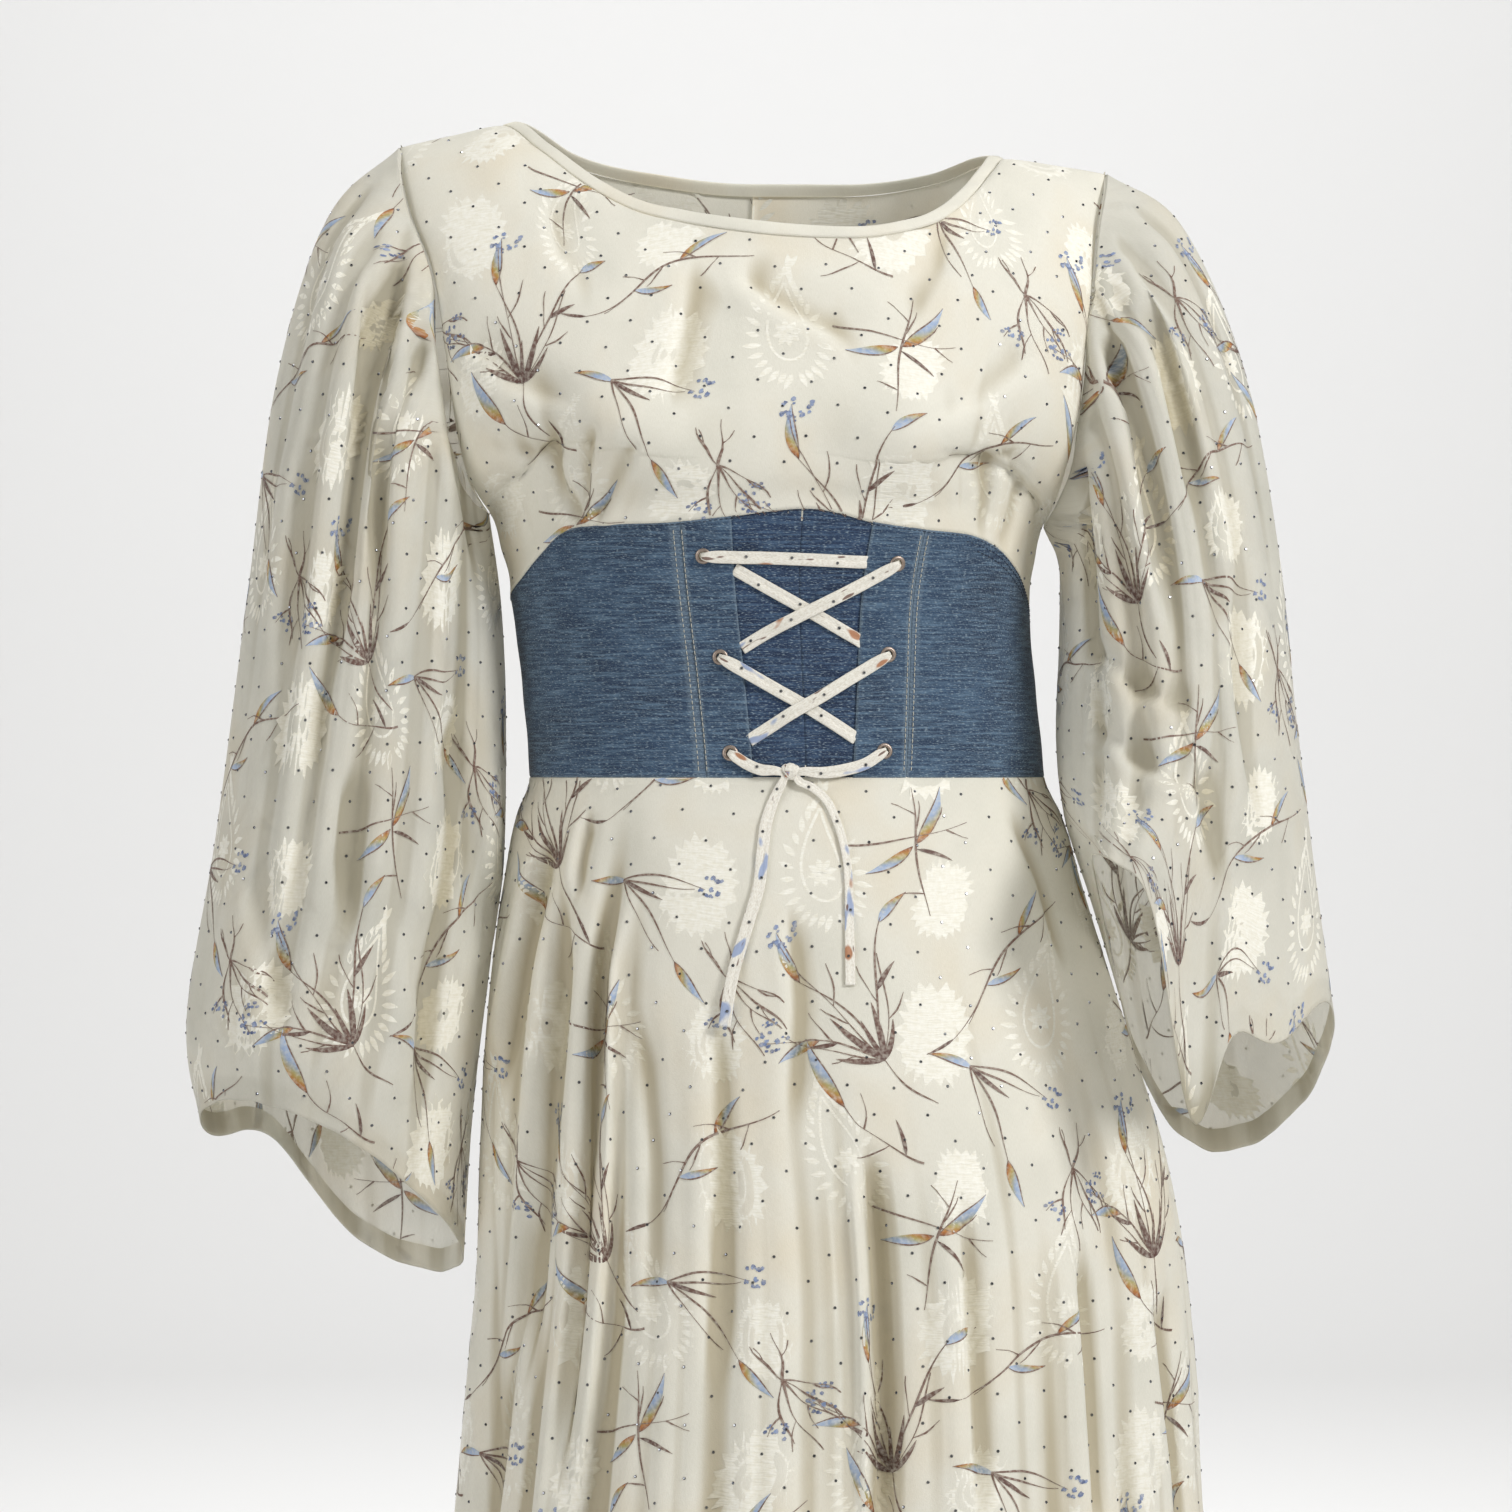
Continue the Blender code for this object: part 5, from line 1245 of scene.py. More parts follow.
    def point(self, back: bool, turn: np.ndarray, rise: np.ndarray) -> np.ndarray:
        """A point on the outside of the bodice.

        Args:
            back: True on the back.
            turn: From -90 at the left side to 90 at the right.
            rise: From 0 at the band to 1 at the neck or shoulder.

        Returns:
            The point in millimetres.
        """
        sign = 1.0 if back else -1.0
        top = self.top_back if back else self.top_front
        across = TRUNK.rounded(np.sin(np.radians(turn)))
        forward = TRUNK.rounded(np.cos(np.radians(turn)))
        edges = []
        for table in (self.edge_left, self.edge_right):
            z = table[0][0] + (table[-1][0] - table[0][0]) * rise
            edges.append((column(table, 0, 1, z), column(table, 0, 3 if back else 2, z)))
        left, right = edges
        share = (across + 1) / 2
        x = left[0] + (right[0] - left[0]) * share
        edge_depth = sign * (left[1] + (right[1] - left[1]) * share)
        top_x = self.edge_left[-1][1] + (self.edge_right[-1][1] - self.edge_left[-1][1]) * share
        low_z = TRUNK.band_top(180 - turn if back else turn)
        z = low_z + (column(top, 0, 2, top_x) - low_z) * rise
        middle = column(self.depth_back if back else self.depth_front, 0, 1, z)
        depth = edge_depth + (middle - edge_depth) * forward
        if not back:
            for cup_x, cup_z, height, wide, tall in self.cups:
                depth = depth + height * np.exp(-(((x - cup_x) / wide) ** 2) - ((z - cup_z) / tall) ** 2)
            depth = depth - self.gathered(turn, rise)
        to_top = 1 - np.sqrt(1 - np.clip(rise, 0, 1) ** 5)
        y = sign * depth * (1 - to_top) + column(top, 0, 1, top_x) * to_top
        foot = TRUNK.point(180 - turn if back else turn, low_z + 0 * x)
        settle = ease(rise, 0.0, 0.12)
        return np.stack([foot[..., 0] * (1 - settle) + x * settle,
                         foot[..., 1] * (1 - settle) + y * settle, z], axis=-1)

    def panel(self, name: str, back: bool, turns: np.ndarray, columns: int, seams: tuple[str, ...]) -> ClothPanel:
        """One panel, its foot tucked behind the band."""
        rises = np.interp(np.linspace(0, 13, 96), np.arange(14), self.rises)
        grid = self.point(back, turns[None, :], rises[:, None])
        under = 180 - turns if back else turns
        tucked = [TRUNK.point(under, TRUNK.band_top(under) - drop, -2.2) for drop in (7.0, 0.6)]
        grid = np.concatenate([tucked, grid])
        grid = even_columns(grid[:, ::-1] if back else grid, columns)
        if not back:
            grid = pressed(grid, self.creases, False, 1.8)
        return ClothPanel(name, grid, seams=seams)

    def build(self) -> list[ClothPanel]:
        """Make the three panels and the neck edge."""
        turns = np.linspace(-90, 90, 721)
        panels = [
            self.panel("bodice_front_cloth", False, turns, 230, ("top", "left", "right")),
            self.panel("bodice_back_left_cloth", True, turns[turns <= 0], 66, ("top", "left", "right")),
            self.panel("bodice_back_right_cloth", True, turns[turns >= 0], 66, ("top", "left", "right")),
        ]
        for panel in panels:
            panel.build(panel.name.removesuffix("_cloth"))
        self.neck_edge()
        return panels

    def neck_edge(self) -> bpy.types.Object:
        """The narrow edge, turned over twice so that its top is round, a little twisted at the right."""
        neck = np.linspace(-self.neck_turn, self.neck_turn, 150)
        front = self.point(False, neck, 1.0 + 0 * neck)
        back = self.point(True, neck[::-1], 1.0 + 0 * neck)
        loop = np.concatenate([front[:-1], back])
        inward = unit(np.stack([self.neck_centre_x - loop[:, 0], -loop[:, 1], 0 * loop[:, 0]], axis=-1))
        flat = 0.38 + 0.58 * inward[:, :1] ** 2
        lift = inward * flat + np.array([0, 0, 1.0]) * np.sqrt(1 - flat**2)
        way = unit(np.roll(loop, -1, axis=0) - np.roll(loop, 1, axis=0))
        way[0], way[-1] = way[1], way[-2]
        out = unit(np.cross(way, lift))
        run = np.concatenate([[0], np.cumsum(np.linalg.norm(np.diff(loop, axis=0), axis=1))])
        twist = 0.25 + 0.75 * np.exp(-(((loop[:, 0] - 108) / 30) ** 2)) * (loop[:, 1] < 20)
        # share of the width up the edge, how far out
        profile = ((0.00, -0.9), (0.02, 0.05), (0.16, 0.40), (0.45, 0.42), (0.75, 0.36), (0.92, 0.12), (1.00, -0.45),
                   (0.93, -1.00), (0.70, -1.20), (0.30, -1.20), (0.02, -1.1))
        rows = []
        for share, rise in profile:
            ripple = 0.35 * np.sin(run / 4.1 + share * 5) + 0.25 * np.sin(run / 6.7 + 2 * share + 1.3)
            over = rise + ripple * twist * (rise > 0)
            rows.append(loop + lift * (share * self.neck_edge_width - 0.4) + out * over[:, None])
        grid = np.array(rows)
        index = np.arange(grid.shape[0] * grid.shape[1]).reshape(grid.shape[:2])
        faces = quads(index[:-1, :-1], index[:-1, 1:], index[1:, 1:], index[1:, :-1])
        flat_map = np.stack(np.broadcast_arrays(run[None, :], np.arange(len(profile))[:, None] * 2.0), axis=-1)
        piece = make_piece("neck_edge_cloth", grid.reshape(-1, 3), faces, Finish.CLOTH.material(), flat_map.reshape(-1, 2))
        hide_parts("neck_edge")
        return piece


@dataclass
class Sleeve:
    """A bell sleeve, pleated into its armhole."""

    name: str
    table: Rows
    # outer x and z, inner x and z, front x, y and z, back x, y and z, from the armhole to the hem
    rings: Rows
    # turn at the armhole, turn at the hem, depth, half width, begin, end
    folds: Rows
    creases: tuple[Crease, ...]
    back_creases: tuple[Crease, ...]
    mirrored: bool
    # turn, how far the hem hangs down there, half width
    drops: Rows = ()
    underarm_rise: float = 0.19

    def ring_points(self, rings: np.ndarray, angle: np.ndarray) -> tuple[np.ndarray, np.ndarray]:
        """Points at these angles of each ring, and the rings' centres."""
        middle = (rings[..., 5] + rings[..., 8]) / 2
        outer = np.stack([rings[..., 0], middle, rings[..., 1]], axis=-1)
        inner = np.stack([rings[..., 2], middle, rings[..., 3]], axis=-1)
        front, back = rings[..., 4:7], rings[..., 7:10]
        centre = (outer + inner + front + back) / 4
        turn = angle[..., None]
        points = (centre + (outer - inner) / 2 * np.cos(turn) + (front - back) / 2 * np.sin(turn)
                  + (outer + inner - front - back) / 4 * np.cos(2 * turn))
        return points, centre

    def armhole(self, theta: np.ndarray) -> np.ndarray:
        """Points on the armhole, 0 at the shoulder tip and 90 in front."""
        tip = self.table[-1][0]
        underarm = self.table[0][0] + (tip - self.table[0][0]) * self.underarm_rise
        z = underarm + (tip - underarm) * (1 + np.cos(np.radians(theta))) / 2
        y = np.where(theta % 360 <= 180, column(self.table, 0, 2, z), column(self.table, 0, 3, z))
        return np.stack([column(self.table, 0, 1, z), y, z], axis=-1)

    def sunk(self, theta: np.ndarray, along: np.ndarray) -> np.ndarray:
        """How far pleats and folds sink in."""
        total = 0.0
        fine = [(top + 11.5 + 3 * math.sin(n * 2.1), hem + 11.5 + 4 * math.sin(n * 1.7), depth * 0.30, half * 0.42,
                 start, 0.35 + 0.5 * end * (n % 3) / 2) for n, (top, hem, depth, half, start, end) in
                enumerate(self.folds)]
        for top, hem, depth, half, start, end in (*self.folds, *fine):
            line = top + (hem - top) * along
            away = (theta - line + 180) % 360 - 180
            fade = ease(along, start, start + 0.10) * (1 - 0.75 * ease(along, end - 0.35, end))
            total = total + depth * fade * np.exp(-((away / half) ** 2))
        return total

    def build(self) -> ClothPanel:
        """Make the sleeve as one piece of cloth, closed along its underarm seam."""
        along = np.concatenate([np.linspace(1, 0.12, 118), np.linspace(0.12, 0, 34)[1:]])[:, None]
        theta = np.linspace(-180, 180, 401)[None, :]
        rings = smooth(np.arange(len(self.rings)), np.asarray(self.rings, float), along[:, 0] * (len(self.rings) - 1))
        angle = np.radians(theta)
        points, centre = self.ring_points(rings[:, None, :], angle + 0 * along)
        first, _ = self.ring_points(np.asarray(self.rings[0], float), angle[0])
        fit = self.armhole(theta[0]) - first
        points = points + fit[None] * (1 - ease(along, 0.0, 0.30))[..., None]
        inward = unit(centre - points)
        points = points + inward * self.sunk(theta, along)[..., None]
        for at, drop, half in self.drops:
            fall = drop * np.exp(-((((theta - at + 180) % 360 - 180) / half) ** 2)) * ease(along, 0.70, 1.0)
            points[..., 2] -= fall
        if self.mirrored:
            points = points[:, ::-1]
        grid = even_columns(points, 176)
        grid[:, -1] = grid[:, 0]
        grid = pressed(grid, self.creases, True, 2.0)
        grid = pressed(grid, self.back_creases, True, 2.0, front=False)
        grid[:, -1] = grid[:, 0]
        grid = grid + ((0.3 if self.mirrored else -0.3), 0, 0)
        panel = ClothPanel(f"{self.name}_cloth", grid, closed=True, seams=("top",), hem=True, finish=Finish.SHEER)
        panel.build(self.name)
        return panel


@dataclass
class Skirt:
    """The three flared panels of the skirt."""

    # turn at the waist, turn at the hem, depth at the hem, half width, height where it begins
    folds: Rows = (
        (-3.0, 0.5, 24.0, 5.5, -470.0), (7.0, 6.5, 40.0, 6.0, -520.0), (20.0, 22.0, 22.0, 7.0, -600.0),
        (33.0, 36.0, 34.0, 7.0, -560.0), (52.0, 53.0, 30.0, 7.5, -480.0), (68.0, 72.0, 34.0, 7.0, -600.0),
        (88.0, 92.0, 26.0, 8.0, -700.0), (106.0, 110.0, 40.0, 8.0, -420.0), (128.0, 132.0, 36.0, 8.0, -400.0),
        (150.0, 153.0, 38.0, 8.0, -430.0), (170.0, 171.0, 30.0, 7.0, -420.0), (190.0, 190.0, 32.0, 7.0, -420.0),
        (211.0, 208.0, 38.0, 8.0, -430.0), (233.0, 229.0, 36.0, 8.0, -400.0), (252.0, 250.0, 30.0, 8.0, -420.0),
        (300.0, 276.0, 34.0, 7.0, -366.0), (309.0, 295.0, 30.0, 6.0, -372.0), (325.0, 313.0, 44.0, 6.0, -366.0),
        (333.0, 328.0, 20.0, 5.0, -400.0), (343.0, 342.0, 24.0, 6.0, -420.0),
    )
    # the same, for the small folds between them
    fine_folds: Rows = (
        (2.0, 3.5, 5.0, 1.8, -420.0), (13.0, 14.0, 7.0, 2.4, -500.0), (27.0, 29.5, 6.0, 2.2, -440.0),
        (42.0, 45.0, 8.0, 2.8, -520.0), (60.0, 63.0, 7.0, 2.6, -450.0), (79.0, 82.0, 6.0, 2.6, -560.0),
        (97.0, 101.0, 8.0, 2.8, -430.0), (116.0, 121.0, 9.0, 3.0, -460.0), (140.0, 143.0, 8.0, 3.0, -420.0),
        (160.0, 162.0, 7.0, 2.6, -480.0), (179.0, 181.0, 6.0, 2.4, -440.0), (201.0, 199.0, 8.0, 2.8, -460.0),
        (222.0, 218.0, 9.0, 3.0, -430.0), (243.0, 240.0, 8.0, 2.8, -480.0), (268.0, 263.0, 7.0, 2.6, -420.0),
        (286.0, 285.0, 6.0, 2.2, -400.0), (317.0, 304.0, 7.0, 2.0, -380.0), (338.0, 335.0, 6.0, 2.0, -440.0),
        (351.0, 350.0, 7.0, 2.2, -400.0), (356.5, 356.0, 4.0, 1.6, -470.0),
    )
    creases: tuple[Crease, ...] = (
        Crease(((552, 826), (536, 873), (521, 944), (506, 1020), (493, 1110)), 3.4, 5.0, 0.5),
        Crease(((561, 865), (552, 970), (539, 1122), (526, 1300), (516, 1442)), 4.6, 5.5, 0.5),
        Crease(((623, 852), (603, 970), (595, 1140), (582, 1310), (558, 1540)), 6.0, 6.0, 0.6, -1.0),
        Crease(((590, 812), (578, 850), (572, 905)), 2.2, 4.0),
        Crease(((640, 1000), (652, 1160), (648, 1330)), 1.8, 8.0),
        Crease(((718, 980), (722, 1160), (712, 1400)), 1.9, 9.0),
        Crease(((864, 1130), (872, 1260), (876, 1368), (874, 1560)), 5.0, 6.0, 0.6),
        Crease(((1079, 1230), (1090, 1380), (1100, 1560)), 3.6, 7.0),
        Crease(((1159, 1280), (1172, 1400), (1188, 1540)), 3.0, 6.0),
        Crease(((960, 1180), (970, 1330), (980, 1520)), 2.4, 8.0),
        Crease(((790, 900), (798, 1000), (792, 1130)), 1.6, 7.0),
        Crease(((1010, 800), (1046, 880), (1072, 980)), 1.8, 8.0),
    )

    def point(self, turn: np.ndarray, z: np.ndarray) -> np.ndarray:
        """A point on the outside of the skirt, with its folds."""
        sunk = 0.0
        for waist, hem, depth, half, start in (*self.folds, *self.fine_folds):
            down = np.clip((start - z) / (start - TRUNK.hem), 0, 1)
            line = waist + (hem - waist) * ease(z, TRUNK.band_bottom, TRUNK.hem)
            away = (turn - line + 180) % 360 - 180
            sunk = sunk + depth * down**0.8 * np.exp(-((away / half) ** 2))
        return TRUNK.point(turn, z, -sunk)

    def panel(self, name: str, first: float, last: float, columns: int, rows: int) -> ClothPanel:
        """One panel, its top tucked behind the band."""
        turns = np.linspace(first, last, 900)
        heights = TRUNK.hem + (TRUNK.band_bottom - TRUNK.hem) * np.linspace(0, 1, rows) ** 0.92
        grid = self.point(turns[None, :], heights[:, None])
        tucked = [TRUNK.point(turns, z + 0 * turns, -2.2) for z in (TRUNK.band_bottom + 0.6, TRUNK.band_bottom + 7)]
        grid = even_columns(np.concatenate([grid, tucked]), columns)
        if "front" in name:
            grid = pressed(grid, self.creases, False, 2.3)
        return ClothPanel(name, grid, seams=("left", "right"), hem=True)

    def build(self) -> list[ClothPanel]:
        """Make the front and the two back panels."""
        panels = [
            self.panel("skirt_front_cloth", -90, 90, 270, 206),
            self.panel("skirt_back_right_cloth", 90, 180, 140, 170),
            self.panel("skirt_back_left_cloth", 180, 270, 140, 170),
        ]
        for panel in panels:
            panel.build(panel.name.removesuffix("_cloth"))
        return panels


@dataclass
class DenimBand:
    """The denim band: a panel under the lacing, two eyelet flaps, sides and back."""

    thickness: float = 1.5
    gap: float = 0.3
    underlap: float = 9.0
    # x at the upper and at the lower edge
    left_seam: tuple[float, float] = (-49.4, -34.8)
    left_edge: tuple[float, float] = (-21.3, -9.4)
    centre: tuple[float, float] = (17.6, 19.2)
    right_edge: tuple[float, float] = (55.9, 44.6)
    right_seam: tuple[float, float] = (84.5, 73.7)
    # x, z
    eyelets: tuple[tuple[str, float, float], ...] = (
        ("eyelet_left_1", -36.4, -237.0), ("eyelet_left_2", -27.2, -291.5), ("eyelet_left_3", -21.8, -343.4),
        ("eyelet_right_1", 68.9, -240.8), ("eyelet_right_2", 64.0, -290.0), ("eyelet_right_3", 61.9, -342.3),
    )
    stitch: float = 2.5
    stitch_gap: float = 0.5

    def seam_turns(self, seam: tuple[float, float], shift: float = 0.0) -> tuple[float, float]:
        """Turns of a front seam at its upper and lower end, moved sideways by so much."""
        return TRUNK.turn_at(seam[0] + shift, -216.0), TRUNK.turn_at(seam[1] + shift, TRUNK.band_bottom)

    def grid(self, first: tuple[float, float], last: tuple[float, float], columns: int, rows: int,
             out: float) -> np.ndarray:
        """Points of a panel between two seams, each given as its upper and lower turn."""
        up = np.linspace(0, 1, rows)[:, None]
        share = np.linspace(0, 1, columns)[None, :]
        top = first[0] + (last[0] - first[0]) * share
        low = first[1] + (last[1] - first[1]) * share
        z = TRUNK.band_bottom + 0.1 + (TRUNK.band_top(top) - 0.1 - TRUNK.band_bottom) * up
        return TRUNK.point(low + (top - low) * up, z, out)

    def panel(self, name: str, first: tuple[float, float], last: tuple[float, float], columns: int, rows: int,
              out: float, finish: Finish, troughs: tuple[float, ...] = (), rub: float = 0.6) -> bpy.types.Object:
        """One denim panel with rounded, rubbed edges and a soft trough under each row of topstitching.

        Args:
            name: Node that the panel stands for.
            first: Upper and lower turn of its left seam.
            last: Upper and lower turn of its right seam.
            columns: Points across.
            rows: Points up.
            out: How far the panel lies outside the trunk.
            finish: Its denim.
            troughs: Distance of each row of stitches from the left edge, or from the right if negative.
            rub: How pale its edges are worn.

        Returns:
            The piece.
        """
        grid = self.grid(first, last, columns, rows, out)
        for side in ("left", "right", "bottom", "top"):
            view = ClothPanel._side(grid, side)
            axis = 1 if side in ("left", "right") else 0
            inner = [view[0] + unit(view[1] - view[0]) * far for far in (0.3, 0.9)]
            if side in ("right", "top"):
                grid = np.insert(grid, [grid.shape[axis] - 1] * 2, np.stack(inner[::-1], axis=axis), axis=axis)
            else:
                grid = np.insert(grid, [1, 1], np.stack(inner, axis=axis), axis=axis)
        normals = grid_normals(grid, False)
        steps = np.linalg.norm(np.diff(grid, axis=1), axis=-1)
        across = np.concatenate([np.zeros((len(grid), 1)), np.cumsum(steps, axis=1)], axis=1)
        rises = np.linalg.norm(np.diff(grid, axis=0), axis=-1)
        up = np.concatenate([np.zeros((1, grid.shape[1])), np.cumsum(rises, axis=0)])
        nearest = np.minimum.reduce([across, across[:, -1:] - across, up, up[-1:] - up])
        rubbed = rub * np.exp(-((nearest / 1.0) ** 2))
        sunk = 0.75 * np.exp(-((nearest / 0.5) ** 2))
        for far in troughs:
            off = across - far if far > 0 else across[:, -1:] + far - across
            sunk = sunk + 0.28 * np.exp(-((off / 0.8) ** 2))
            rubbed = rubbed + 0.5 * np.exp(-(((np.abs(off) - 1.1) / 0.6) ** 2))
        sunk = sunk - 0.16 * np.sin(up / 5.3 + across / 31) * np.exp(-((nearest - 5) / 6) ** 2)
        outer = grid - normals * sunk[..., None]
        inner = grid - normals * self.thickness
        flat = np.stack([across - across[:, -1:] / 2 + grid[0, :, 0].mean(), up], axis=-1)
        index = np.arange(2 * grid.shape[0] * grid.shape[1]).reshape(2, *grid.shape[:2])
        keep = np.ones(grid.shape[:2], bool)
        for _, x, z in self.eyelets:
            point, _ = TRUNK.front_frame(x, z)
            keep &= np.linalg.norm(grid - point, axis=-1) > 2.7
        whole = keep[:-1, :-1] & keep[:-1, 1:] & keep[1:, 1:] & keep[1:, :-1]
        o, i = index
        faces = np.concatenate([
            quads(o[:-1, :-1], o[:-1, 1:], o[1:, 1:], o[1:, :-1])[whole.ravel()],
            quads(i[:-1, :-1], i[1:, :-1], i[1:, 1:], i[:-1, 1:])[whole.ravel()],
            quads(o[0, 1:], o[0, :-1], i[0, :-1], i[0, 1:]), quads(o[-1, :-1], o[-1, 1:], i[-1, 1:], i[-1, :-1]),
            quads(o[:-1, 0], o[1:, 0], i[1:, 0], i[:-1, 0]), quads(o[1:, -1], o[:-1, -1], i[:-1, -1], i[1:, -1]),
        ])
        points = np.concatenate([outer.reshape(-1, 3), inner.reshape(-1, 3)])
        used, fresh = np.unique(faces, return_inverse=True)
        both = np.concatenate([flat.reshape(-1, 2), flat.reshape(-1, 2)])
        piece = make_piece(f"{name}_denim", points[used], fresh.reshape(faces.shape), finish.material(), both[used])
        piece.data.set_sharp_from_angle(angle=math.radians(60))
        wear = piece.data.attributes.new("wear", "FLOAT", "POINT")
        values = np.clip(np.concatenate([rubbed.ravel(), rubbed.ravel()]), 0, 1)[used]
        wear.data.foreach_set("value", values.astype(np.float32))
        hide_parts(name)
        return piece

    def stitches(self, name: str, lines: list[np.ndarray], outs: list[np.ndarray], finish: Finish,
                 thick: float = 0.27) -> bpy.types.Object:
        """Rows of topstitching, each stitch a short thread that dips into the cloth at its ends.

        Args:
            name: Name of the piece.
            lines: Points along each row, in millimetres.
            outs: Outward direction at each of those points.
            finish: The thread.
            thick: Half the thread's thickness.

        Returns:
            The piece.
        """
        points, faces, flat = [], [], []
        count = 0
        for line, out in zip(lines, outs):
            run = np.concatenate([[0], np.cumsum(np.linalg.norm(np.diff(line, axis=0), axis=1))])
            starts = np.arange(1.2, run[-1] - self.stitch, self.stitch + self.stitch_gap)
            for n, start in enumerate(starts):
                at = start + self.stitch * np.linspace(0, 1, 5)
                path = np.stack([np.interp(at, run, line[:, k]) for k in range(3)], axis=-1)
                away = unit(np.stack([np.interp(at, run, out[:, k]) for k in range(3)], axis=-1))
                side = unit(np.cross(away, np.gradient(path, axis=0)))
                height = np.array([-0.30, 0.10, 0.20, 0.10, -0.30])
                half = thick * np.array([0.55, 0.95, 1.0, 0.95, 0.55])
                for k in range(5):
                    for turn in np.arange(5) * 2 * np.pi / 5:
                        points.append(path[k] + away[k] * (height[k] + half[k] * math.sin(turn))
                                      + side[k] * half[k] * math.cos(turn))
                        flat.append((at[k], turn * thick + n * 7.3))
                for k in range(4):
                    for m in range(5):
                        a, b = count + k * 5 + m, count + k * 5 + (m + 1) % 5
                        faces.append((a, b, b + 5, a + 5))
                faces.append(tuple(count + m for m in range(4, -1, -1)))
                faces.append(tuple(count + 20 + m for m in range(5)))
                count += 25
        piece = make_piece(name, np.array(points), faces, finish.material(), np.array(flat))
        return piece

    def seam_row(self, seam: tuple[float, float], shift: float) -> tuple[np.ndarray, np.ndarray]:
        """Points and outward directions along a front seam, moved sideways by so much."""
        up = np.linspace(0.02, 0.985, 60)
        top, low = self.seam_turns(seam, shift)
        z = TRUNK.band_bottom + (TRUNK.band_top(top) - TRUNK.band_bottom) * up
        turn = low + (top - low) * up
        points = TRUNK.point(turn, z)
        across = TRUNK.point(turn + 1, z) - TRUNK.point(turn - 1, z)
        return points, unit(np.cross(across, np.gradient(points, axis=0)))

    def edge_row(self, first: float, last: float, below: float) -> tuple[np.ndarray, np.ndarray]:
        """Points and outward directions along the band's upper edge, so far below it."""
        turn = np.linspace(first, last, 90)
        points = TRUNK.point(turn, TRUNK.band_top(turn) - below)
        return points, unit(np.cross(np.gradient(points, axis=0), (0, 0, 1.0)))

    def build(self) -> None:
        """Make the panels, their topstitching and the eyelets."""
        under = -(self.thickness + self.gap)
        left_seam, left_edge = self.seam_turns(self.left_seam), self.seam_turns(self.left_edge)
        right_edge, right_seam = self.seam_turns(self.right_edge), self.seam_turns(self.right_seam)
        middle = self.seam_turns(self.centre)
        # the centre panels take the darker denim, painted shade for their place under the flaps and lacing
        dark, blue = Finish.DENIM_UNDER, Finish.DENIM
        left_lap = self.seam_turns(self.left_edge, -self.underlap)
        right_lap = self.seam_turns(self.right_edge, self.underlap)
        self.panel("corset_centre_left", left_lap, middle, 30, 80, under, dark, (), 0.05)
        self.panel("corset_centre_right", middle, right_lap, 30, 80, under, dark, (), 0.05)
        self.panel("corset_flap_left", left_seam, left_edge, 36, 130, 0.0, blue, (0.7,))
        self.panel("corset_flap_right", right_edge, right_seam, 36, 130, 0.0, blue, (-1.6,))
        self.panel("corset_side_left", (-90.0, -90.0), left_seam, 76, 68, 0.0, blue, (-3.8,))
        self.panel("corset_side_right", right_seam, (90.0, 90.0), 72, 68, 0.0, blue, (2.4,))
        self.panel("corset_back_right", (90.0, 90.0), (180.0, 180.0), 70, 46, 0.0, blue)
        self.panel("corset_back_left", (180.0, 180.0), (270.0, 270.0), 70, 46, 0.0, blue)
        rows = [self.seam_row(self.left_seam, -3.8), self.seam_row(self.left_seam, 0.7),
                self.seam_row(self.right_seam, -1.6), self.seam_row(self.right_seam, 2.4)]
        self.stitches("seam_topstitching", [row[0] for row in rows], [row[1] for row in rows], Finish.CREAM_THREAD)
        rows = [self.edge_row(44, 90, 4.0), self.edge_row(48, 90, 7.5), self.edge_row(-90, 90, 1.4)]
        self.stitches("edge_stitching", [row[0] for row in rows], [row[1] for row in rows], Finish.BLUE_THREAD, 0.24)
        self.frays()
        for name, x, z in self.eyelets:
            self.eyelet(name, x, z)

    def frays(self) -> bpy.types.Object:
        """Short pale threads that stick out along the upper and lower edge."""
        rng = np.random.default_rng(11)
        points, faces = [], []
        for upper, count in ((True, 900), (False, 520)):
            turn = rng.uniform(-90, 270, count)
            z = TRUNK.band_top(turn) - 0.3 if upper else np.full(count, TRUNK.band_bottom + 0.3)
            foot = TRUNK.point(turn, z, -0.3)
            way = unit(TRUNK.point(turn + 0.5, z) - TRUNK.point(turn - 0.5, z))
            out = unit(np.cross(way, (0, 0, 1.0)))
            long = rng.uniform(0.6, 1.7, count)[:, None]
            lean = way * rng.normal(0, 0.8, count)[:, None] + out * rng.uniform(0.1, 0.9, count)[:, None]
            tip = foot + unit(lean + (0, 0, 1.0 if upper else -1.0)) * long
            for base, end, side in zip(foot, tip, way):
                bend = (base + end) / 2 + side * rng.normal(0, 0.15)
                first = len(points)
                points += [base - side * 0.09, base + side * 0.09, bend - side * 0.07, bend + side * 0.07, end]
                faces += [(first, first + 1, first + 3, first + 2), (first + 2, first + 3, first + 4)]
        shape = np.array(points)
        piece = make_piece("denim_frays", shape, faces, Finish.FRAY.material(), shape[:, [0, 2]])
        return piece

    def eyelet(self, name: str, x: float, z: float) -> bpy.types.Object:
        """A pressed metal eyelet: rolled rim, throat and washer."""
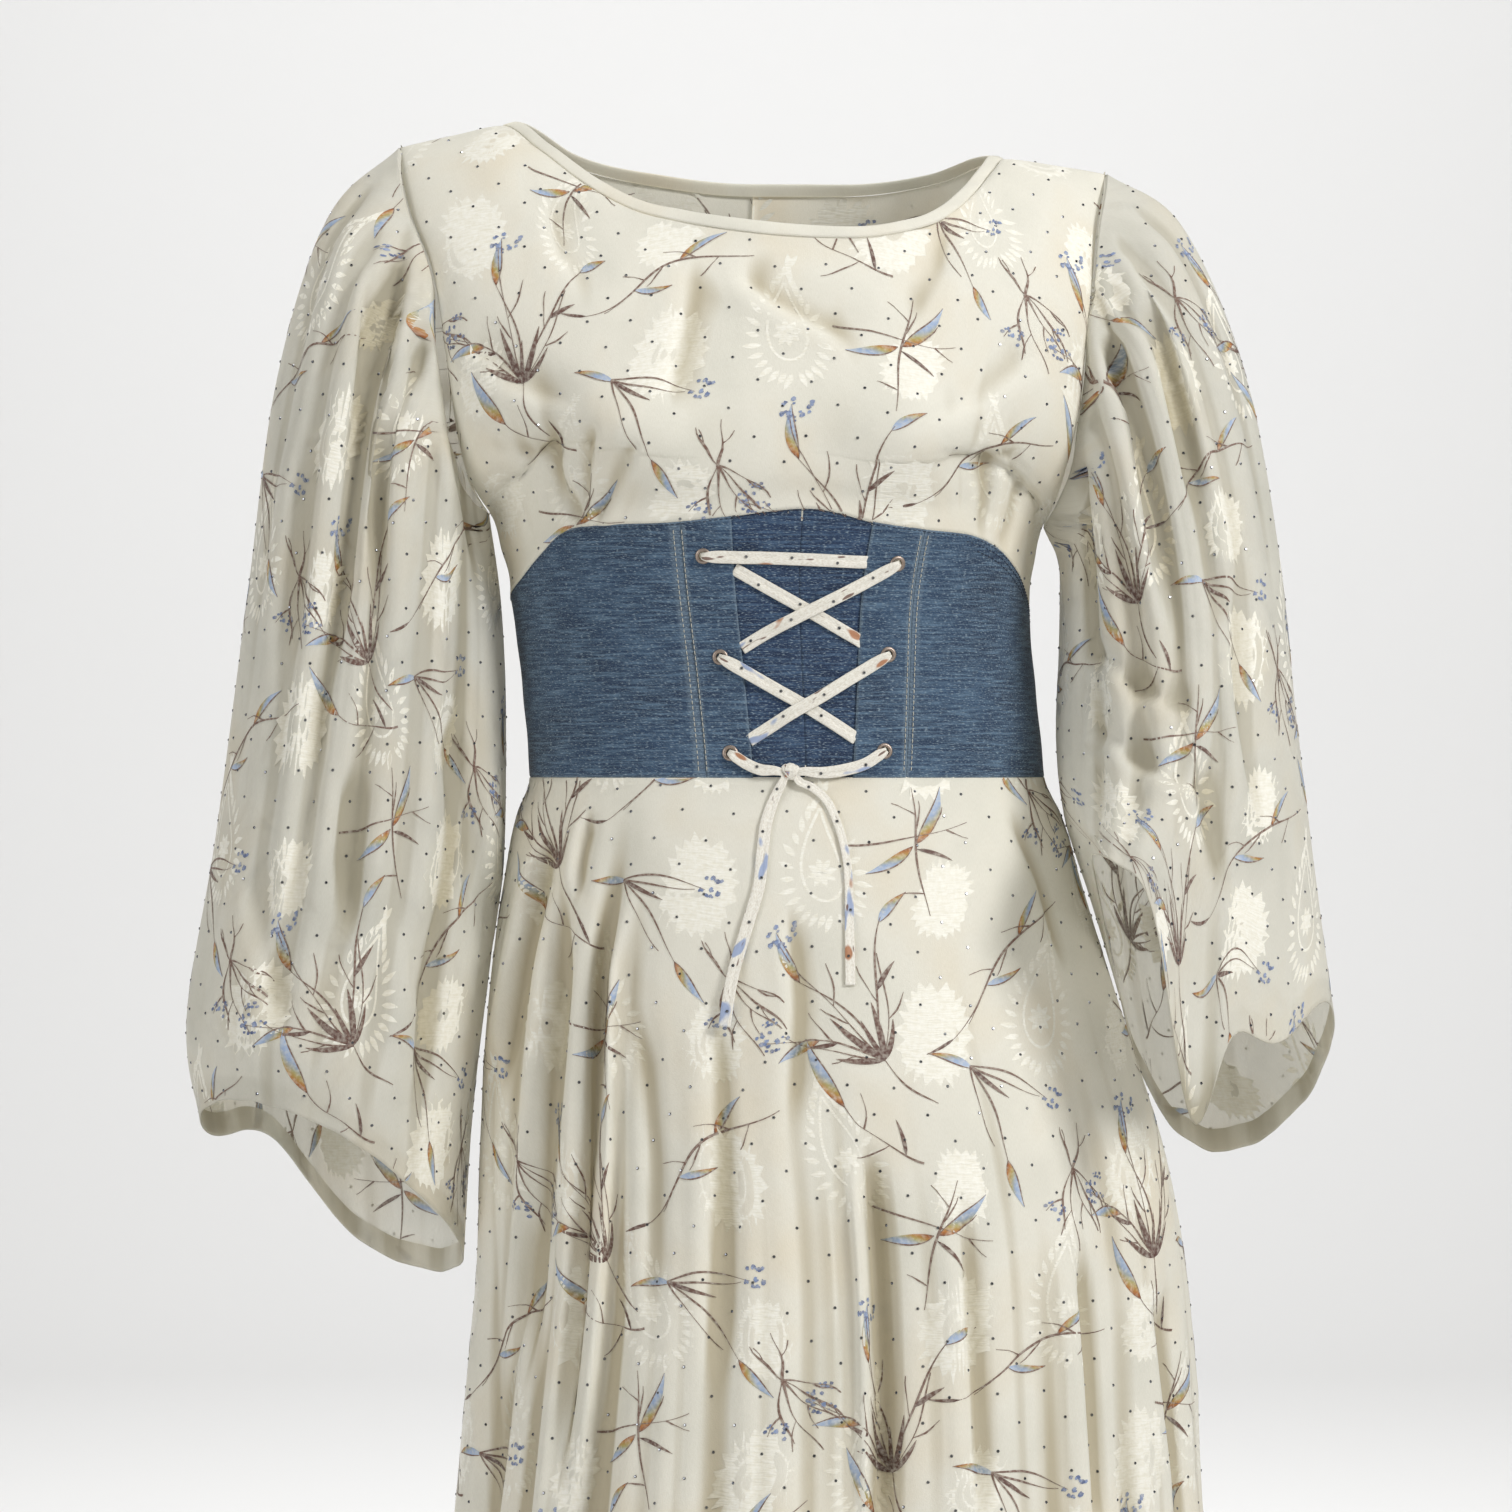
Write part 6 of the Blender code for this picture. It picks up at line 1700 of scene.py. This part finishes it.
        # radius, height above the denim
        profile = ((2.25, -1.30), (2.20, -0.40), (2.28, 0.30), (2.55, 0.82), (3.05, 1.08), (3.60, 1.02), (4.05, 0.78),
                   (4.32, 0.42), (4.34, 0.16), (3.90, 0.02), (2.72, 0.02), (2.70, -1.30))
        point, out = TRUNK.front_frame(x, z)
        side = unit(np.cross((0, 0, 1.0), out))
        up = np.cross(out, side)
        steps = 48
        angle = np.linspace(0, 2 * np.pi, steps, endpoint=False)
        radius, height = np.array(profile).T
        rings = (point + out * height[None, :, None]
                 + (side * np.cos(angle)[:, None, None] + up * np.sin(angle)[:, None, None]) * radius[None, :, None])
        index = np.arange(steps * len(profile)).reshape(steps, -1)
        around = np.concatenate([index, index[:1]])
        around = np.concatenate([around, around[:, :1]], axis=1)
        faces = quads(around[:-1, :-1], around[1:, :-1], around[1:, 1:], around[:-1, 1:])
        piece = make_piece(f"{name}_ring", rings.reshape(-1, 3), faces, Finish.EYELET.material())
        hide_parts(name)
        return piece


@dataclass
class Lacing:
    """Flat straps of the dress cloth, laced through the eyelets and tied in a knot."""

    thick: float = 1.5
    knot: tuple[float, float] = (10.7, -353.6)
    # distance along the strap, distance out, width
    eyelet_exit: Rows = ((-0.9, -0.9, 3.0), (-0.7, 0.7, 3.2), (0.1, 2.1, 3.8), (1.6, 2.7, 4.8), (4.2, 2.5, 6.2))
    # places and outward directions of the stones on the straps
    stones: list = field(default_factory=list)

    def route(self, start: tuple[float, float] | None, rows: Rows) -> tuple[np.ndarray, np.ndarray, np.ndarray]:
        """Points, outward directions and widths along a strap.

        Args:
            start: x and z of the eyelet that it comes out of, if any.
            rows: x, z, distance out from the band's face, width.

        Returns:
            Points in millimetres, outward directions and widths.
        """
        rows = list(rows)
        if start:
            heading = unit(np.array([rows[0][0] - start[0], rows[0][1] - start[1]]))
            rows = [(start[0] + heading[0] * along, start[1] + heading[1] * along, out, width)
                    for along, out, width in self.eyelet_exit] + rows
        table = np.asarray(rows, float)
        run = np.concatenate([[0], np.cumsum(np.linalg.norm(np.diff(table[:, :3], axis=0), axis=1))])
        fine = smooth(run, table, np.linspace(0, run[-1], max(40, int(run[-1] / 0.9))))
        points, outs = [], []
        for x, z, out, _ in fine:
            point, direction = TRUNK.front_frame(x, z)
            points.append(point + direction * out)
            outs.append(direction)
        return np.array(points), np.array(outs), fine[:, 3]

    def strap(self, name: str, start: tuple[float, float] | None, rows: Rows) -> tuple[bpy.types.Object, np.ndarray]:
        """A soft flat strap with rolled edges and small wrinkles.

        Args:
            name: Name of the piece.
            start: x and z of the eyelet that it comes out of, if any.
            rows: x, z, distance out, width.

        Returns:
            The piece and the line that it follows.
        """
        points, outs, widths = self.route(start, rows)
        ways = unit(np.gradient(points, axis=0))
        ahead = points[np.minimum(np.arange(len(points)) + 9, len(points) - 1)]
        behind = points[np.maximum(np.arange(len(points)) - 9, 0)]
        sides = unit(np.cross(outs, ahead - behind))
        ups = np.cross(ways, sides)
        run = np.concatenate([[0], np.cumsum(np.linalg.norm(np.diff(points, axis=0), axis=1))])
        rim = ((-0.50, 0.0), (-0.48, -0.36), (-0.40, -0.46), (0.0, -0.40), (0.40, -0.46), (0.48, -0.36), (0.50, 0.0),
               (0.48, 0.30), (0.42, 0.42), (0.20, 0.30), (0.06, 0.20), (0.02, 0.32), (-0.16, 0.38), (-0.41, 0.46),
               (-0.48, 0.32))
        seed = sum(map(ord, name)) % 17
        ring, flat = [], []
        for u, v in rim:
            thick = np.minimum(self.thick, widths * 0.42)
            ripple = 0.10 * np.sin(run / 2.3 + seed + u * 6) + 0.08 * np.sin(run / 5.1 + 2 * u)
            ring.append(points + sides * (u * widths)[:, None] + ups * (v * thick + ripple * (v > 0))[:, None])
            flat.append(np.stack([run, u * widths * (1 if v > 0 else -1) + 20 * seed], axis=-1))
        grid = np.stack(ring, axis=1)
        flat = np.stack(flat, axis=1)
        count, size = grid.shape[:2]
        index = np.arange(count * size).reshape(count, size)
        around = np.concatenate([index, index[:, :1]], axis=1)
        faces = quads(around[:-1, :-1], around[:-1, 1:], around[1:, 1:], around[1:, :-1]).tolist()
        faces += [index[0][::-1].tolist(), index[-1].tolist()]
        piece = make_piece(name, grid.reshape(-1, 3), faces, Finish.STRAP.material(), flat.reshape(-1, 2))
        at = np.searchsorted(run, np.arange(13.0 + seed, run[-1] - 5, 25.0))
        beside = (0.16 * np.cos(at * 1.7) * widths[at])[:, None]
        self.stones.append((points[at] + sides[at] * beside + ups[at] * np.minimum(self.thick, widths[at] * 0.42)[:, None] * 0.45,
                            ups[at]))
        return piece, points

    def declare(self, piece: bpy.types.Object, path: np.ndarray, nodes: tuple[str, ...], far_end: str, lay: str,
                with_pieces: tuple = ()) -> None:
        """Let a strap stand for its solids and log its length."""
        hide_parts(*nodes)
        length = float(np.linalg.norm(np.diff(path, axis=0), axis=1).sum()) * MM
        log.info("%s: %.3f m long", piece.name, length)
        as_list(with_pieces)

    def tie_knot(self) -> bpy.types.Object:
        """The knot: two soft bands wrapped over each other round a core."""
        point, out = TRUNK.front_frame(*self.knot)
        side = unit(np.cross((0, 0, 1.0), out))
        up = np.cross(out, side)
        centre = point + out * 2.8
        points, faces, flat = [], [], []
        count = 0
        # lean in degrees, half width, radius across, radius out, middle across and up
        for lean, wide, across, depth, shift_x, shift_z in ((8, 2.9, 4.4, 3.0, 0.0, 0.3), (-38, 2.3, 4.9, 2.6, -0.9, -0.2),
                                                            (44, 2.2, 4.8, 2.5, 1.0, -0.4)):
            tilt = math.radians(lean)
            way = side * math.sin(tilt) + up * math.cos(tilt)
            beside = side * math.cos(tilt) - up * math.sin(tilt)
            middle = centre + side * shift_x + up * shift_z
            for turn in np.linspace(0, 2 * np.pi, 36, endpoint=False):
                for n, share in enumerate(np.linspace(-1, 1, 9)):
                    pinch = 1 - 0.16 * share**4
                    rim = depth * pinch + 0.22 * math.cos(share * 7 + lean)
                    points.append(middle + way * across * pinch * math.sin(turn) + out * rim * math.cos(turn)
                                  + beside * wide * share * (0.72 + 0.28 * abs(math.cos(turn))))
                    flat.append((turn * 5 + lean, share * wide))
            index = count + np.arange(36 * 9).reshape(36, 9)
            around = np.concatenate([index, index[:1]])
            faces += quads(around[:-1, :-1], around[:-1, 1:], around[1:, 1:], around[1:, :-1]).tolist()
            count += 36 * 9
        piece = make_piece("lace_knot_cloth", np.array(points), faces, Finish.STRAP.material(), np.array(flat))
        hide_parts("lace_knot")
        return piece

    def build(self) -> None:
        """Lace the band from the top down, then tie the ends."""
        left = {name: (x, z) for name, x, z in DenimBand().eyelets}
        straight = (
            ("lace_bar", left["eyelet_left_1"],
             ((-25.0, -237.4, 1.6, 7.0), (-17.0, -237.7, 1.4, 7.0), (-4.0, -238.1, -0.3, 7.0),
              (20.0, -239.0, -0.5, 7.0), (48.0, -240.2, -0.7, 7.0), (54.6, -240.4, -1.0, 7.0))),
            ("lace_cross_1_under", None,
             ((-19.6, -244.0, -0.9, 7.0), (-14.0, -247.2, -0.6, 7.0), (2.0, -256.2, -0.6, 7.0),
              (26.0, -269.6, -0.6, 7.0), (44.0, -280.0, -0.7, 7.0), (50.6, -283.8, -1.0, 7.0))),
            ("lace_cross_1_over", left["eyelet_right_1"],
             ((58.0, -247.2, 1.6, 7.0), (49.0, -252.2, 1.5, 7.0), (30.0, -262.0, 1.6, 7.0),
              (12.0, -271.0, 1.5, 7.0), (-2.0, -278.5, -0.2, 7.0), (-15.6, -286.8, -0.8, 7.0))),
            ("lace_cross_2_under", left["eyelet_left_2"],
             ((-17.0, -297.4, 1.6, 7.0), (-10.0, -301.5, 1.4, 7.0), (2.0, -308.4, -0.3, 7.0),
              (20.0, -318.6, -0.6, 7.0), (40.0, -331.2, -0.7, 7.0), (46.6, -335.6, -1.0, 7.0))),
            ("lace_cross_2_over", left["eyelet_right_2"],
             ((53.0, -297.0, 1.6, 7.0), (44.0, -302.5, 1.6, 7.0), (27.0, -313.0, 1.7, 7.0),
              (12.0, -321.5, 1.5, 7.0), (1.0, -328.6, -0.2, 7.0), (-11.6, -336.6, -0.8, 7.0))),
        )
        for name, start, rows in straight:
            piece, path = self.strap(f"{name}_strap", start, rows)
            self.declare(piece, path, (name,), "object", "taut")
        knot = self.tie_knot()
        ends = (
            ("left", left["eyelet_left_3"],
             ((-13.0, -349.2, 2.2, 6.2), (-5.0, -352.6, 3.0, 6.2), (3.6, -353.4, 3.6, 5.0),
              (7.6, -355.0, 3.4, 4.4), (6.6, -359.6, 3.4, 4.8), (3.4, -366.0, 2.2, 5.6), (-1.9, -380.0, 1.4, 6.6),
              (-4.4, -398.0, 1.4, 6.8), (-6.0, -414.0, 1.4, 6.8), (-12.0, -435.0, 1.4, 6.8),
              (-20.4, -464.0, 1.4, 6.8), (-24.5, -490.0, 1.4, 6.8)), (knot,)),
            ("right", left["eyelet_right_3"],
             ((52.0, -348.8, 2.2, 6.4), (40.0, -352.6, 2.6, 6.6), (27.0, -354.2, 3.0, 6.2),
              (17.8, -353.6, 3.6, 5.0), (13.6, -355.0, 3.4, 4.4), (15.6, -359.4, 3.4, 4.6), (22.0, -362.5, 2.4, 4.8),
              (30.0, -369.5, 1.6, 4.8), (36.0, -382.0, 1.4, 4.6), (40.6, -400.0, 1.4, 4.6),
              (42.0, -420.0, 1.4, 4.8), (42.2, -440.0, 1.4, 5.2), (42.6, -468.0, 1.4, 5.6)), ()),
        )
        for side, start, rows, on_it in ends:
            piece, path = self.strap(f"lace_{side}_end", start, rows)
            self.declare(piece, path, (f"lace_tie_{side}", f"lace_tail_{side}"), "bare", "hanging", on_it)
        Rhinestones().domes("lace_stones", np.concatenate([spots for spots, _ in self.stones]),
                            np.concatenate([outs for _, outs in self.stones]))


@dataclass
class Studio:
    """Camera, soft light, pale floor and backdrop."""

    distance: float = 3.0
    height: float = -0.345
    across: float = -0.00784
    frame_width: float = 0.8467
    floor: float = -1.45
    wall: float = 8.0

    def camera(self) -> None:
        """The photograph's view."""
        data = bpy.data.cameras.new("camera")
        data.sensor_width = 36.0
        data.lens = 36.0 * self.distance / self.frame_width
        data.clip_end = 30.0
        camera = bpy.data.objects.new("camera", data)
        camera.location = (self.across, -self.distance, self.height)
        camera.rotation_euler = (math.pi / 2, 0, 0)
        bpy.context.scene.collection.objects.link(camera)
        bpy.context.scene.camera = camera

    def backdrop(self) -> None:
        """A floor that curves up into a wall."""
        curve = [(-12.0, self.floor), (self.wall - 1.4, self.floor)]
        for turn in np.linspace(0, np.pi / 2, 14)[1:]:
            curve.append((self.wall - 1.4 + 1.4 * math.sin(turn), self.floor + 1.4 * (1 - math.cos(turn))))
        curve.append((self.wall, 8.0))
        points = [(x, y, z) for x in (-12.0, 12.0) for y, z in curve]
        count = len(curve)
        faces = [(n, n + 1, count + n + 1, count + n) for n in range(count - 1)]
        mesh = bpy.data.meshes.new("backdrop")
        mesh.from_pydata(points, [], faces)
        mesh.shade_smooth()
        n = Nodes("backdrop_paper", 0.9)
        n.shader.inputs["Base Color"].default_value = (0.80, 0.80, 0.80, 1)
        mesh.materials.append(n.material)
        sheet = bpy.data.objects.new("backdrop", mesh)
        bpy.context.scene.collection.objects.link(sheet)

    def lights(self) -> None:
        """Broad lamps in front, beside and above, and pale surroundings."""
        # name, place, aim, size, watts
        for name, place, size, watts in (
            ("key", (2.3, -2.0, 1.2), 0.9, 64.0), ("fill", (-2.6, -2.0, 0.2), 1.5, 22.0),
            ("top", (0.2, -0.3, 2.3), 1.4, 16.0), ("back_wash", (0.0, 3.6, 2.2), 4.0, 168.0),
            ("back_fill", (-1.6, 2.6, 1.2), 1.6, 26.0),
        ):
            data = bpy.data.lights.new(name, "AREA")
            data.size = size
            data.energy = watts
            lamp = bpy.data.objects.new(name, data)
            lamp.location = place
            aim = Vector((0, self.wall, -0.3)) if name == "back_wash" else Vector((0, 0, -0.45))
            lamp.rotation_euler = (aim - Vector(place)).to_track_quat("-Z", "Y").to_euler()
            bpy.context.scene.collection.objects.link(lamp)
        world = bpy.context.scene.world or bpy.data.worlds.new("surroundings")
        bpy.context.scene.world = world
        world.use_nodes = True
        ground = world.node_tree.nodes["Background"]
        ground.inputs["Color"].default_value = (1.0, 0.985, 0.95, 1)
        ground.inputs["Strength"].default_value = 0.34
        bpy.context.scene.view_settings.view_transform = "Standard"


@dataclass
class CentreBackZip:
    """The concealed zip's slider and pull, which keep their solids' shape."""

    nodes: tuple[str, ...] = ("zip_slider", "zip_pull")

    def dress(self) -> None:
        """Give the slider and the pull their enamel."""
        for node in self.nodes:
            thing = frame["nodes"][node] if isinstance(frame["nodes"], dict) else bpy.data.objects[node]
            if isinstance(thing, str):
                thing = bpy.data.objects[thing]
            for slot in thing.material_slots:
                slot.material = Finish.ZIP.material()
            log.info("%s: enamel", node)


def sleeves() -> tuple[Sleeve, Sleeve]:
    """The hanging left sleeve and the right sleeve, which bends forward."""
    left = Sleeve(
        "sleeve_left", Bodice().edge_left,
        (
            (-207.0, -3.0, -157.0, -208.7, -184.0, -52.0, -110.0, -184.0, 53.0, -110.0),
            (-246.0, -43.0, -150.0, -262.0, -203.0, -80.0, -140.0, -200.0, 74.0, -150.0),
            (-275.0, -135.0, -147.5, -330.0, -214.0, -94.0, -225.0, -212.0, 88.0, -235.0),
            (-291.5, -257.0, -148.5, -400.0, -222.0, -100.0, -325.0, -220.0, 94.0, -335.0),
            (-309.0, -390.0, -156.5, -462.0, -232.0, -107.0, -418.0, -232.0, 100.0, -440.0),
            (-325.0, -500.0, -166.5, -545.0, -245.0, -110.0, -497.0, -240.0, 100.0, -545.0),
            (-317.0, -555.0, -172.0, -620.0, -250.0, -97.0, -541.0, -236.0, 90.0, -628.0),
        ),
        (
            (28.0, 34.0, 7.0, 8.0, 0.03, 0.62), (52.0, 54.0, 9.0, 7.0, 0.04, 0.80), (72.0, 72.0, 15.0, 7.0, 0.02, 0.86),
            (93.0, 90.0, 13.0, 7.0, 0.02, 0.92), (118.0, 112.0, 9.0, 8.0, 0.10, 1.00), (140.0, 136.0, 12.0, 9.0, 0.05, 1.00),
            (206.0, 210.0, 9.0, 9.0, 0.10, 1.00), (234.0, 238.0, 12.0, 9.0, 0.04, 0.95), (262.0, 264.0, 13.0, 8.0, 0.02, 0.90),
            (286.0, 288.0, 13.0, 8.0, 0.02, 0.90), (312.0, 310.0, 10.0, 8.0, 0.03, 0.75), (338.0, 334.0, 7.0, 8.0, 0.03, 0.60),
        ),
        (
            Crease(((372, 240), (355, 400), (340, 560), (325, 700)), 3.2, 5.0, 0.5),
            Crease(((405, 200), (385, 350), (378, 600)), 3.4, 5.0, 0.5, -1.0),
            Crease(((430, 270), (455, 450), (480, 600)), 2.8, 6.0),
            Crease(((350, 760), (342, 860), (352, 960)), 2.2, 8.0),
            Crease(((440, 700), (470, 820), (486, 960)), 2.6, 8.0, 0.5, -1.0),
            Crease(((250, 850), (262, 960), (296, 1060)), 2.4, 9.0),
            Crease(((300, 420), (284, 560), (268, 690)), 2.0, 7.0),
            Crease(((406, 900), (424, 1010), (420, 1110)), 2.0, 9.0),
        ),
        (Crease(((380, 240), (352, 420), (338, 640)), 3.0, 6.0), Crease(((430, 300), (440, 520), (452, 760)), 2.6, 7.0),
         Crease(((310, 500), (300, 700), (290, 900)), 2.4, 8.0)),
        False,
        ((312.0, -34.0, 28.0),),
    )
    right = Sleeve(
        "sleeve_right", Bodice().edge_right,
        (
            (188.0, -18.0, 152.5, -216.5, 175.0, -52.0, -113.0, 175.0, 53.0, -113.0),
            (229.0, -48.0, 162.0, -244.0, 194.0, -84.0, -145.0, 192.0, 72.0, -152.0),
            (264.0, -132.0, 161.0, -288.0, 208.0, -102.0, -214.0, 208.0, 80.0, -232.0),
            (283.0, -235.0, 159.0, -332.0, 216.0, -116.0, -288.0, 220.0, 84.0, -325.0),
            (291.5, -325.0, 162.0, -372.0, 214.0, -136.0, -350.0, 230.0, 80.0, -425.0),
            (301.0, -415.0, 171.0, -402.0, 206.0, -158.0, -388.0, 238.0, 66.0, -505.0),
            (309.0, -484.0, 180.0, -428.0, 200.0, -168.0, -409.0, 243.0, 46.0, -568.0),
        ),
        (
            (26.0, 30.0, 6.0, 8.0, 0.03, 0.60), (48.0, 50.0, 8.0, 7.0, 0.02, 0.75), (68.0, 66.0, 11.0, 7.0, 0.02, 0.85),
            (88.0, 84.0, 13.0, 7.0, 0.02, 0.80), (110.0, 106.0, 11.0, 8.0, 0.03, 0.92), (136.0, 132.0, 9.0, 9.0, 0.08, 1.00),
            (208.0, 214.0, 9.0, 9.0, 0.10, 1.00), (236.0, 242.0, 12.0, 9.0, 0.04, 1.00), (264.0, 266.0, 13.0, 8.0, 0.02, 0.95),
            (290.0, 290.0, 12.0, 8.0, 0.02, 0.95), (314.0, 312.0, 10.0, 8.0, 0.03, 0.85), (338.0, 336.0, 6.0, 8.0, 0.03, 0.60),
        ),
        (
            Crease(((1095, 262), (1110, 326), (1125, 410), (1142, 480), (1156, 568), (1170, 639)), 3.4, 5.0, 0.5),
            Crease(((1140, 240), (1172, 380), (1200, 520)), 2.8, 6.0),
            Crease(((1080, 420), (1092, 560), (1098, 700)), 2.6, 6.0, 0.5, -1.0),
            Crease(((1090, 640), (1140, 690), (1200, 716)), 2.4, 7.0),
            Crease(((1086, 720), (1150, 770), (1226, 790)), 2.2, 7.0),
            Crease(((1220, 560), (1240, 700), (1262, 840)), 2.6, 8.0),
            Crease(((1180, 720), (1204, 830), (1240, 930)), 2.0, 9.0),
        ),
        (Crease(((1130, 260), (1160, 420), (1180, 620)), 3.0, 6.0), Crease(((1090, 320), (1096, 520), (1110, 700)), 2.4, 7.0),
         Crease(((1220, 520), (1240, 700), (1250, 900)), 2.4, 8.0)),
        True,
        ((72.0, 104.0, 12.0), (44.0, 60.0, 24.0)),
    )
    return left, right


def main() -> None:
    """Build the dress from the camera and straps to the print."""
    logging.basicConfig(level=logging.INFO, format="%(name)s %(message)s")
    studio = Studio()
    studio.camera()
    Lacing().build()
    studio.backdrop()
    studio.lights()
    DenimBand().build()
    CentreBackZip().dress()
    panels = Bodice().build()
    panels += [sleeve.build() for sleeve in sleeves()]
    panels += Skirt().build()
    print_art = ClothPattern(BotanicalPrint(), Finish.INK, 0.16, 0.05)
    figures = ClothPattern(JacquardFigures(), Finish.SATIN, 0.06, 0.04)
    stones = Rhinestones()
    for number, panel in enumerate(panels):
        shift = (37.0 * number + 11.0, 53.0 * number - 20.0)
        stem = panel.name.removesuffix("_cloth")
        in_view = not stem.startswith("skirt")
        laid = [figures.lay(panel, f"{stem}_figures", (shift[1], shift[0]), in_view),
                print_art.lay(panel, f"{stem}_print", shift, in_view),
                stones.set_on(panel, f"{stem}_stones", shift)]
        panel.declare(laid, "gathered" if "skirt" not in stem else "hung")


if __name__ == "__main__":
    main()
